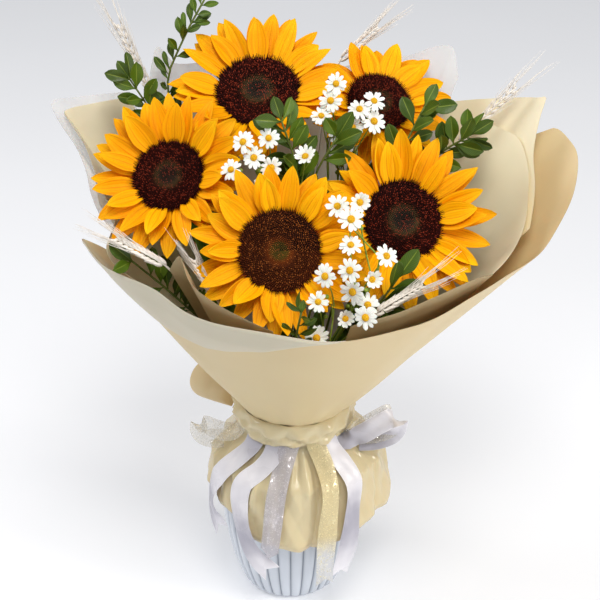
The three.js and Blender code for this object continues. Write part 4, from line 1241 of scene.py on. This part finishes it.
def build_rays(key, spec, place, seed):
    bm = bmesh.new()
    root = 0.78 * spec["disc"]
    for number, layer in enumerate(LAYERS):
        for k in range(layer["count"]):
            own = seed + 97 * number + 13 * k
            turn = 2 * math.pi * (k + 0.5 * number + 0.22 * draw(own)) / layer["count"]
            out = round_axis(turn)
            waves, cup = 7 + 2 * draw(own + 5), 0.34 + 0.16 * draw(own + 10)

            def relief(s, v, half, own=own, waves=waves, cup=cup):
                crease_line = 0.42 * math.cos(3 * math.pi * s + 0.6 * draw(own + 6))
                crease_line *= math.sin(math.pi * min(1, v + 0.1))
                wavy = 0.6 * s * math.sin(waves * v + own) * v
                return cup * half * (s * s - 0.3) + crease_line + wavy

            petal = {
                "length": spec["petal"] * layer["long"] * (1 + 0.09 * draw(own + 1)),
                "width": 15.2 + 2.6 * draw(own + 2),
                "lift": math.radians(spec["lift"] + layer["lift"] + layer["loose"] * draw(own + 3)),
                "curl": math.radians(0.35 * spec["lift"] + 7 + 2.2 * layer["loose"] * draw(own + 4)),
                "sway": 5 * draw(own + 7), "roll": math.radians(24 * draw(own + 8)),
                "outline": ray_outline, "relief": relief}
            # Lower layers get a deeper orange tint, painted shade under the upper layers; the rest is each
            # petal's own tone.
            tint = clamp(0.3 + 0.35 * draw(own + 9) - 0.12 * number + 0.12)
            blade(bm, out * root + UP * layer["height"], out, UP, petal, tint, 12, 12)
    bmesh.ops.transform(bm, matrix=place, verts=bm.verts)
    piece(f"{key}_petals", bm, PETAL_GOLD, [f"sunflower_{key}_rays"], 0.4)


for number, (key, spec) in enumerate(SUNFLOWERS.items()):
    spec["place"] = stand(Vector(spec["at"]), facing(spec["azimuth"], spec["elevation"]))
    build_rays(key, spec, spec["place"], 50 + 211 * number)

# %% [markdown]
# The florets follow the sunflower's own rule: each is turned 137.5 degrees from the last and a
# little further out, which gives the crossing spirals. The outer ones are open: they are longer
# and lean out over the petals. One disc is made as a template and copied to each head at its size.

# %% Disc of florets
FLORETS = 1700
TEMPLATE_RADIUS = 30
GOLDEN = math.pi * (3 - math.sqrt(5))


def dome(share):
    """How low the disc's face lies at a share of its radius: it dips at the middle and the edge."""
    return -2.4 * share ** 3 - 1.6 * (1 - share) ** 3


def floret_template():
    bm = bmesh.new()
    grid = bm.loops.layers.uv.new("grid")
    own = bm.loops.layers.uv.new("own")
    for n in range(FLORETS):
        share = math.sqrt((n + 0.5) / FLORETS)
        turn = n * GOLDEN
        opened, edge = ease((share - 0.34) / 0.08), ease((share - 0.8) / 0.2)
        height = (1.4 + 1.0 * opened + 1.0 * edge) * (1 + 0.3 * draw(n))
        lean = math.radians(4 + 12 * share + 34 * edge + (4 + 8 * opened) * draw(n + 0.5))
        axis = round_axis(turn, math.sin(lean), math.cos(lean))
        foot = round_axis(turn, TEMPLATE_RADIUS * share, dome(share) - 1.9)
        leant = axis.to_track_quat("Z", "Y").to_matrix().to_4x4()
        spot = Matrix.Translation(foot + axis * height / 2) @ leant
        made = bmesh.ops.create_cone(bm, cap_ends=True, segments=6, radius1=0.58 - 0.14 * edge,
                                     radius2=0.38 - 0.26 * edge, depth=height, matrix=spot)["verts"]
        tint = 0.5 + 0.5 * draw(n + 0.25)
        for v in made:
            tip = clamp((v.co - foot).dot(axis) / height)
            for corner in v.link_loops:
                corner[grid].uv = (share, tip)
                corner[own].uv = (tint, tint)
    bmesh.ops.remove_doubles(bm, verts=bm.verts, dist=0.0005)
    mesh = bpy.data.meshes.new("floret template")
    for face in bm.faces:
        face.smooth = True
    bm.to_mesh(mesh)
    bm.free()
    print("floret template:", len(mesh.polygons), "faces")
    return mesh


TEMPLATE = floret_template()

# %% [markdown]
# Under the florets lies a dark cushion that closes the disc down to where the petals start. Each
# copy of the template is turned by another angle, so that the spirals of two heads differ.

# %% Discs in place


def build_disc(key, spec, finish, spin):
    """One head's disc: the template at its size, turned by `spin`, over its cushion."""
    bm = bmesh.new()
    bm.from_mesh(TEMPLATE)
    grow = spec["disc"] / TEMPLATE_RADIUS
    turn = Matrix.Rotation(spin, 4, "Z")
    bmesh.ops.transform(bm, matrix=turn @ Matrix.Scale(grow, 4), verts=bm.verts)

    def cushion(u, v):
        if u < 0.8:
            share = u / 0.8 * 0.98
            r, z = share * spec["disc"], dome(share) - 1.5
        else:
            t = (u - 0.8) / 0.2
            r, z = spec["disc"] * (0.98 + (0.8 - 0.98) * t), -3.6 + (-HUB + 0.6 + 3.6) * t
        return round_axis(2 * math.pi * v, r, z)

    bmesh.ops.remove_doubles(bm, verts=patch(bm, 20, 72, cushion, 0.1), dist=0.001)
    bmesh.ops.transform(bm, matrix=spec["place"], verts=bm.verts)
    piece(f"{key}_florets", bm, finish, [f"sunflower_{key}_disc"])


for number, (key, spec) in enumerate(SUNFLOWERS.items()):
    build_disc(key, spec, FLORETS_BROWN if key == "front" else FLORETS_DARK, 1.7 * number)

# %% [markdown]
# The back of a head is a green cup with two rings of pointed bracts, on a stout stem that
# bends down into the vase. The cup starts just below the lowest petals.

# %% Cups, bracts and stems
CUP_TOP = -HUB - 3.7
BRACTS = 26


def stem_route(spec):
    """From inside the cup down past the neck to the vase's floor."""
    centre, normal = Vector(spec["at"]), facing(spec["azimuth"], spec["elevation"])
    a = math.radians(spec["neck"])
    top = CUP_TOP + 0.35

    bend = centre + normal * (top - 26)
    middle = bend.lerp(round_axis(a, 13, NECK["z"]), 0.45) - UP * 12
    lower = [(13, NECK["z"] + 25), (13, NECK["z"] - 20), (15, 60), (15, VASE_FLOOR + 0.5)]
    return [centre + normal * (top - 8), bend, middle] + [round_axis(a, *row) for row in lower]


def bract_outline(v):
    return (0.75 + 0.25 * ease(v / 0.35)) * (1 - v) ** 0.8 + 0.04


def build_stem(key, spec, seed):
    bm = bmesh.new()
    disc = spec["disc"]
    cup = [(0, 0), (0.72 * disc, 0), (0.7 * disc, -2), (0.5 * disc, -7), (0.3 * disc, -12),
           (5.5, -17), (3, -20), (0, -20)]

    def calyx(u, v):
        r, z = cup[round(v * 7)]
        return round_axis(2 * math.pi * u, r, CUP_TOP + z)

    close_seam(bm, patch(bm, 24, 7, lambda u, v: calyx(1 - u, v)), 0.001)
    for k in range(BRACTS):
        turn = 2 * math.pi * (k + 0.3 * draw(seed + k)) / BRACTS
        out = round_axis(turn)
        back = k % 2
        bract = {"length": 25 + 3 * draw(seed + 2 * k), "width": 9.5, "outline": bract_outline,
                 "lift": math.radians(-10 - 7 * back + 4 * draw(seed + 3 * k)), "curl": math.radians(-14),
                 "relief": lambda s, v, half: 0.35 * half * (s * s - 0.3)}
        base = out * (0.6 - 0.06 * back) * disc + UP * (CUP_TOP - 0.8 - 2.5 * back)
        blade(bm, base, out, UP, bract, 0.5, 4, 7)
    bmesh.ops.transform(bm, matrix=spec["place"], verts=bm.verts)
    stalk(bm, route(stem_route(spec), 40), lambda t: 4.6 + 0.8 * (1 - t) ** 8, 12)
    piece(f"{key}_stem_green", bm, STEM_GREEN, [f"sunflower_{key}_stem"])


for number, (key, spec) in enumerate(SUNFLOWERS.items()):
    build_stem(key, spec, 87 + 211 * number)

# %% [markdown]
# ## Thin stems
# Every thin stem starts on the floor of the vase, passes the neck at its own place and then
# follows its own route. Most of that is hidden, but the bunch is then tied as a real one is.

# %% Routes of thin stems


def twig_route(neck, points, sway=(0, 0, 0)):
    """From the vase's floor by way of `neck` through `points`, of which the first is swayed."""
    reach = math.hypot(*neck)
    out = Vector((neck[0], neck[1], 0)) / reach
    foot = min(reach + 4, 30)
    own = [Vector(p) for p in points]
    own[0] += Vector(sway)
    return [out * foot + UP * (VASE_FLOOR + 0.5), out * foot + UP * 70,
            out * reach + UP * (NECK["z"] - 20), out * reach + UP * (NECK["z"] + 15), *own]


print("a thin stem has", len(twig_route((3, 4), [(0, 0, 300)])), "points")

# %% [markdown]
# ## Chamomile
# Each bloom has 12 blunt white petals round a yellow cone, and some blooms are still half shut.
# The petals go into one bmesh and the cones into another, because they have different finishes.

# %% One bloom
DAISY_PETALS = 12


def daisy_outline(v):
    return (0.5 + 0.5 * ease(v / 0.35)) * (1 - clamp((v - 0.72) / 0.28) ** 2.2) ** 0.6 + 0.04


def build_bloom(petals, hearts, centre, normal, size, seed):
    """Adds a bloom's petals to one bmesh and its yellow heart to another."""
    place = stand(centre, normal)
    made = []
    shut = 34 * ease((draw(seed + 11) - 0.35) / 0.4)
    for k in range(DAISY_PETALS):
        turn = 2 * math.pi * (k + 0.34 * draw(seed + 3 * k)) / DAISY_PETALS + seed
        out = round_axis(turn)
        spec = {"length": 7.3 * size * (1 + 0.1 * draw(seed + 5 * k)), "width": 2.9 * size,
                "lift": math.radians(8 + shut + 9 * draw(seed + 7 * k)),
                "curl": math.radians(20 - 0.6 * shut + 12 * draw(seed + k)),
                "roll": math.radians(10 * draw(seed + 9 * k)), "outline": daisy_outline,
                "relief": lambda s, v, half: 0.12 * math.cos(3.2 * math.pi * s) * v}
        made += blade(petals, out * 1.9 * size + UP * (0.12 * (k % 3)), out, UP, spec, 0.5, 5, 6)
    bmesh.ops.transform(petals, matrix=place, verts=made)
    heart = bmesh.ops.create_icosphere(hearts, subdivisions=3, radius=2.7 * size)["verts"]
    squash = Matrix.Diagonal((1, 1, 0.82, 1))
    bmesh.ops.transform(hearts, matrix=place @ Matrix.Translation((0, 0, 0.3)) @ squash, verts=heart)


print("a bloom has", DAISY_PETALS, "petals")

# %% [markdown]
# Each spray has its blooms on curved stalks that leave it near its top. The listed slide moves a
# bloom towards the viewer, clear of its neighbours, and small side shoots with a bud fill the
# spray.

# %% Sprays of chamomile
CHAMOMILE = [
    {"neck": (-5, 0), "route": [(-14, -22, 330), (-24, -34, 396)], "slide": {0: 3},
     "blooms": [(-43, -46, 418), (-26, -46, 428), (-15, -42, 442), (-34, -40, 438), (-13, -48, 421),
                (-17, -52, 408), (12, -44, 428)]},
    {"neck": (3, 4.5), "route": [(30, -2, 330), (42, -6, 398)], "slide": {1: 3},
     "blooms": [(31, -2, 455), (24, -4, 443), (48, -4, 434), (64, -4, 439), (38, -8, 428),
                (39, -10, 416), (53, -2, 448), (64, 2, 453), (35, 2, 467)]},
    {"neck": (22.5, -16), "route": [(34, -52, 270), (50, -94, 328), (63, -102, 358), (66, -101, 374)],
     "slide": {2: 25}, "blooms": [(35, -82, 406), (51, -86, 411), (44, -88, 397)]},
    {"neck": (9, -27), "route": [(30, -78, 280), (46, -100, 326)], "slide": {0: 3, 2: 25},
     "blooms": [(44, -112, 390), (70, -108, 379), (43, -114, 370), (60, -110, 361), (46, -116, 354),
                (57, -116, 343)]},
    {"neck": (14, -25), "route": [(22, -86, 270), (30, -112, 308)], "slide": {2: 30, 3: 6},
     "blooms": [(26, -118, 368), (21, -120, 348), (55, -106, 327), (41, -110, 328), (20, -119, 317)]},
]


def build_chamomile(spec, number):
    petals, hearts, stalks = bmesh.new(), bmesh.new(), bmesh.new()
    points = twig_route(spec["neck"], spec["route"])
    stalk(stalks, route(points, 40), lambda t: 1.2 - 0.35 * t, 6)
    at, _ = walker(points)
    for k, where in enumerate(spec["blooms"]):
        seed = 31 * number + 7 * k
        normal = facing(34 * draw(seed), 36 + 22 * draw(seed + 2))
        centre = Vector(where) + facing(0, 30) * spec.get("slide", {}).get(k, 0)
        fork, _ = at(1 - 0.16 * k / len(spec["blooms"]))
        build_bloom(petals, hearts, centre, normal, 1 + 0.1 * draw(seed + 4), seed)
        under = centre - normal * 1.2
        reach = (under - fork).length
        bent = fork.lerp(under, 0.6) - normal * (0.16 * reach)
        stalk(stalks, route([fork, bent, under], 10), lambda t: 0.62 - 0.1 * t, 5)
        shoot = bent + facing(60 * draw(seed + 5), 50 + 20 * draw(seed + 6)) * (9 + 3 * draw(seed + 8))
        side_route = route([fork.lerp(bent, 0.6), bent.lerp(shoot, 0.4), shoot], 8)
        stalk(stalks, side_route, lambda t: 0.45, 5)
        bud = bmesh.ops.create_icosphere(stalks, subdivisions=2, radius=1.7)["verts"]
        bmesh.ops.translate(stalks, vec=shoot, verts=bud)
    for face in hearts.faces:
        face.smooth = True
    node = [f"chamomile_{number}"]
    piece(f"chamomile_{number}_petals", petals, CHALK, node, 0.22)
    piece(f"chamomile_{number}_hearts", hearts, YOLK, node)
    piece(f"chamomile_{number}_stalks", stalks, STALK_GREEN, node)


for number, spec in enumerate(CHAMOMILE, 1):
    build_chamomile(spec, number)

# %% [markdown]
# ## Leafy twigs
# The leaflets are broad past the middle, folded a little along the midrib, and their edges are
# wavy. Each is a blade like a petal, with an outline and a relief of its own.

# %% One leaflet


def leaf_outline(v):
    stalk_part = 0.08 + 0.92 * ease((v - 0.06) / 0.5)
    return stalk_part * (1 - clamp((v - 0.58) / 0.42) ** 2.1) ** 0.7 + 0.03


def leaf_axes(ahead, spread, turned=0.0):
    """The way a leaflet points and faces that leaves its twig at the angle `spread`."""
    view = Matrix.Rotation(turned, 3, ahead) @ facing(0, 35)
    up = (view - ahead * view.dot(ahead)).normalized()
    return ahead * math.cos(spread) + up.cross(ahead) * math.sin(spread), up


def leaf(bm, base, axes, long, seed, broad, bend=0.0):
    """One leaflet from `base`, with the directions of its length and its face in `axes`."""

    def relief(s, v, half):
        return 0.34 * half * (abs(s) - 0.5) + 0.5 * abs(s) * math.sin(8 * v + seed + 2 * s)

    spec = {"length": long * 1.04, "width": long * broad, "lift": math.radians(12 + bend),
            "curl": math.radians(26 + 10 * draw(seed + 2)), "roll": math.radians(10 * draw(seed + 3)),
            "outline": leaf_outline, "relief": relief}
    blade(bm, base, *axes, spec, 0.5 + 0.5 * draw(seed + 4))


print("leaf outline:", [round(leaf_outline(k / 4), 2) for k in range(5)])

# %% [markdown]
# Leaflets stand to either side of a twig by turns, with one at its end. Five times as many more,
# in pairs that are turned about the twig, fill it between and above them. One of those that would
# stand inside a sunflower or pierce the wrapping is left out.

# %% Twigs
# Where each twig passes the neck, its own points, how many leaflets it has, their length, and the
# share of the twig at which the first one stands.
FOLIAGE = {
    "upper_left": [(-20, 16), [(-52, 44, 330), (-97, 58, 440), (-84, 64, 478), (-66, 70, 510)], 11, 20, 0.7],
    "left_back": [(-25, 7), [(-66, 24, 330), (-108, 30, 432), (-124, 28, 462)], 8, 23, 0.72],
    "centre": [(-1, -5), [(4, -22, 330), (6, -30, 408), (-6, -31, 452)], 8, 22, 0.76],
    "centre_right": [(0.5, 0.3), [(10, -10, 330), (20, -16, 400), (36, -14, 430)], 7, 23, 0.76],
    "right_back": [(22, 15), [(52, 10, 330), (82, 2, 402), (104, 18, 442)], 10, 23, 0.74],
    "right": [(26, 3), [(66, 8, 320), (112, 12, 400), (140, 6, 424)], 11, 21, 0.74],
    "left_low": [(-27, -4), [(-58, -34, 260), (-94, -62, 326), (-118, -66, 352)], 7, 23, 0.76],
    "front_low": [(-2, -29), [(0, -84, 262), (5, -122, 316), (9, -131, 346)], 7, 16, 0.82],
    "front_right": [(24, -10), [(50, -56, 262), (64, -94, 326), (80, -92, 352)], 3, 25, 0.86],
}
FILLERS = 5         # more leaflets for each of the twig's own
SMALLER = {"upper_left": 0.78, "left_back": 0.84}       # twigs with smaller leaflets
# How far a twig's first point is moved aside, and a leaflet bent up and shortened, to keep clear.
SWAYS = {"left_low": (3.536, 3.536, 0), "front_low": (10, 0, 0)}
BENT = {
    ("right_back", 4): (20, 1), ("right", 6): (20, 1), ("left_low", 2): (0, 0.8),
    ("left_low", 4): (0, 0.8), ("front_low", 3): (20, 1), ("front_right", 0): (20, 0.8)}


def in_bloom(point):
    """Whether a point is inside a sunflower, or in front of its disc."""
    for spec in SUNFLOWERS.values():
        p = spec["place"].inverted() @ point
        off = math.hypot(p.x, p.y)
        among_petals = off < spec["disc"] + 0.8 * spec["petal"] and -16 < p.z < 16
        before_disc = off < spec["disc"] + 4 and p.z > 0
        if among_petals or before_disc:
            return True
    return False


def within_wrapping(point):
    """Whether a point is inside the cone of the front sheet, or above its rim."""
    azimuth = math.degrees(math.atan2(point.x, -point.y))
    rim = SHEETS["paper_front"][2]
    if not rim[0][0] < azimuth < rim[-1][0]:
        return True
    share = (point.z - NECK["z"]) / (along(rim, azimuth, 2) - NECK["z"])
    wall = NECK["radius"] + (along(rim, azimuth, 1) - NECK["radius"]) * share
    return share > 1.04 or math.hypot(point.x, point.y) < wall - 9


def build_foliage(key):
    neck, points, count, length, first = FOLIAGE[key]
    scale = SMALLER.get(key, 1)
    broad = 0.36 if key in ("upper_left", "front_low") else 0.45
    bm, twig = bmesh.new(), bmesh.new()
    line = twig_route(neck, points, SWAYS.get(key, (0, 0, 0)))
    stalk(twig, route(line, 44), lambda t: 1.25 - 0.45 * t, 6)
    at, _ = walker(line)
    for k in range(count):
        last = k == count - 1
        seed = length * 13 + k * 5
        base, ahead = at(0.995 if last else first + (0.99 - first) * k / (count - 1))
        spread = 0 if last else (1 if k % 2 == 0 else -1) * math.radians(50 + 12 * draw(seed))
        bend, size = BENT.get((key, k), (0, 1))
        long = length * (1 + 0.14 * draw(seed + 1)) * size * scale
        leaf(bm, base, leaf_axes(ahead, spread), long, seed, broad, bend)
    extra = FILLERS * count
    for k in range(extra):
        seed = length * 17 + k * 7
        base, ahead = at(first - 0.12 + (1.12 - first) * (k // 2 * 2 + 1.5) / extra)
        spread = (1 if k % 2 == 0 else -1) * math.radians(46 + 16 * draw(seed))
        long = length * (1.02 + 0.14 * draw(seed + 1)) * scale
        axes = leaf_axes(ahead, spread, 1.1 * draw(seed + 6))
        tip = base + axes[0] * long
        if not in_bloom(tip) and not in_bloom(base.lerp(tip, 0.5)) and within_wrapping(tip):
            leaf(bm, base, axes, long, seed, broad, 10 * draw(seed + 5))
    piece(f"leaves_{key}", bm, LEAF_GREEN, [f"foliage_{key}"], 0.3)
    piece(f"twig_{key}", twig, TWIG_GREEN, [f"foliage_{key}"])


for key in FOLIAGE:
    build_foliage(key)

# %% [markdown]
# ## Wheat
# An ear is two rows of slim pointed husks set aslant in threes, like a plait. A long fine awn
# grows from the tip of each husk but the lowest ones.

# %% Ears of wheat
STEPS = 18          # threes of husks on an ear, to the left and the right by turns
# Where each stalk passes the neck, its own points, the ear's base and tip, and its awns' length.
WHEAT = [
    [(-17, 21), [(-56, 56, 320)], (-110, 66, 432), (-136, 74, 490), 52],
    [(4, 27), [(18, 76, 330)], (40, 101, 447), (72, 107, 475), 46],
    [(25, 10), [(72, 30, 310)], (132, 44, 398), (180, 52, 446), 44],
    [(-25, -13), [(-62, -38, 270)], (-91, -78, 354), (-130, -70, 374), 44],
    [(-11, -26), [(-32, -64, 270)], (-53, -93, 333), (-70, -88, 366), 34],
    [(19, -21), [(44, -72, 270)], (62, -108, 330), (99, -100, 352), 44],
]


def husk(bm, foot, axis, long, wide, tint):
    """A slim pointed husk: a stalk that swells and closes."""
    points = [foot + axis * (long * k / 6) for k in range(7)]
    swell = (0.3, 0.85, 1.0, 0.8, 0.5, 0.22, 0.04)
    return stalk(bm, points, lambda t: wide * swell[round(t * 6)], 7, tint)


def build_wheat(row, number):
    neck, points, base, tip, beard = row
    bm = bmesh.new()
    base, tip = Vector(base), Vector(tip)
    line = twig_route(neck, [*points, base, base.lerp(tip, 0.97)])
    stalk(bm, route(line, 40), lambda t: 1.1 - 0.3 * t, 6, 0.2)
    axis = tip - base
    long = axis.length
    axis.normalize()
    side = axis.cross(facing(0, 30)).normalized()
    deep = side.cross(axis)
    for k in range(STEPS):
        t = 0.02 + 0.9 * k / (STEPS - 1)
        hand = 1 if k % 2 == 0 else -1
        plump = (0.8 + 0.2 * math.sin(math.pi * min(1, t * 1.3 + 0.1))) * (1 - 0.25 * t)
        wide = (1.35 if number < 4 else 1.7) * plump
        for depth in (-1, 0, 1):
            seed = 17 * number + k + 0.3 * depth
            lean = (axis + side * ((0.34 - 0.1 * abs(depth)) * hand + 0.08 * draw(seed + 2))
                    + deep * (0.3 * depth + 0.06 * draw(seed))).normalized()
            foot = base + axis * (long * t) + side * (1.1 * hand) + deep * (0.8 * depth)
            husk(bm, foot, lean, 10.8 * plump, wide, 0.5)
            if t < 0.3:
                continue
            spread = axis + side * (0.12 * hand + 0.08 * draw(seed + 3)) + deep * (0.14 * draw(seed + 5))
            spread.normalize()
            reach = beard * (0.72 + 0.26 * draw(seed + 9)) * (0.62 + 0.38 * t)
            start = foot + lean * (9.6 * plump)
            bow = side * (0.04 * reach * draw(seed + 7)) + deep * (0.04 * reach * draw(seed + 8))
            awn = [start, start + spread * reach * 0.5 + bow, start + spread * reach]
            stalk(bm, route(awn, 8), lambda t: 0.24 - 0.16 * t, 4)
    piece(f"wheat_ear_{number}", bm, STRAW, [f"wheat_{number}"])


for number, row in enumerate(WHEAT, 1):
    build_wheat(row, number)
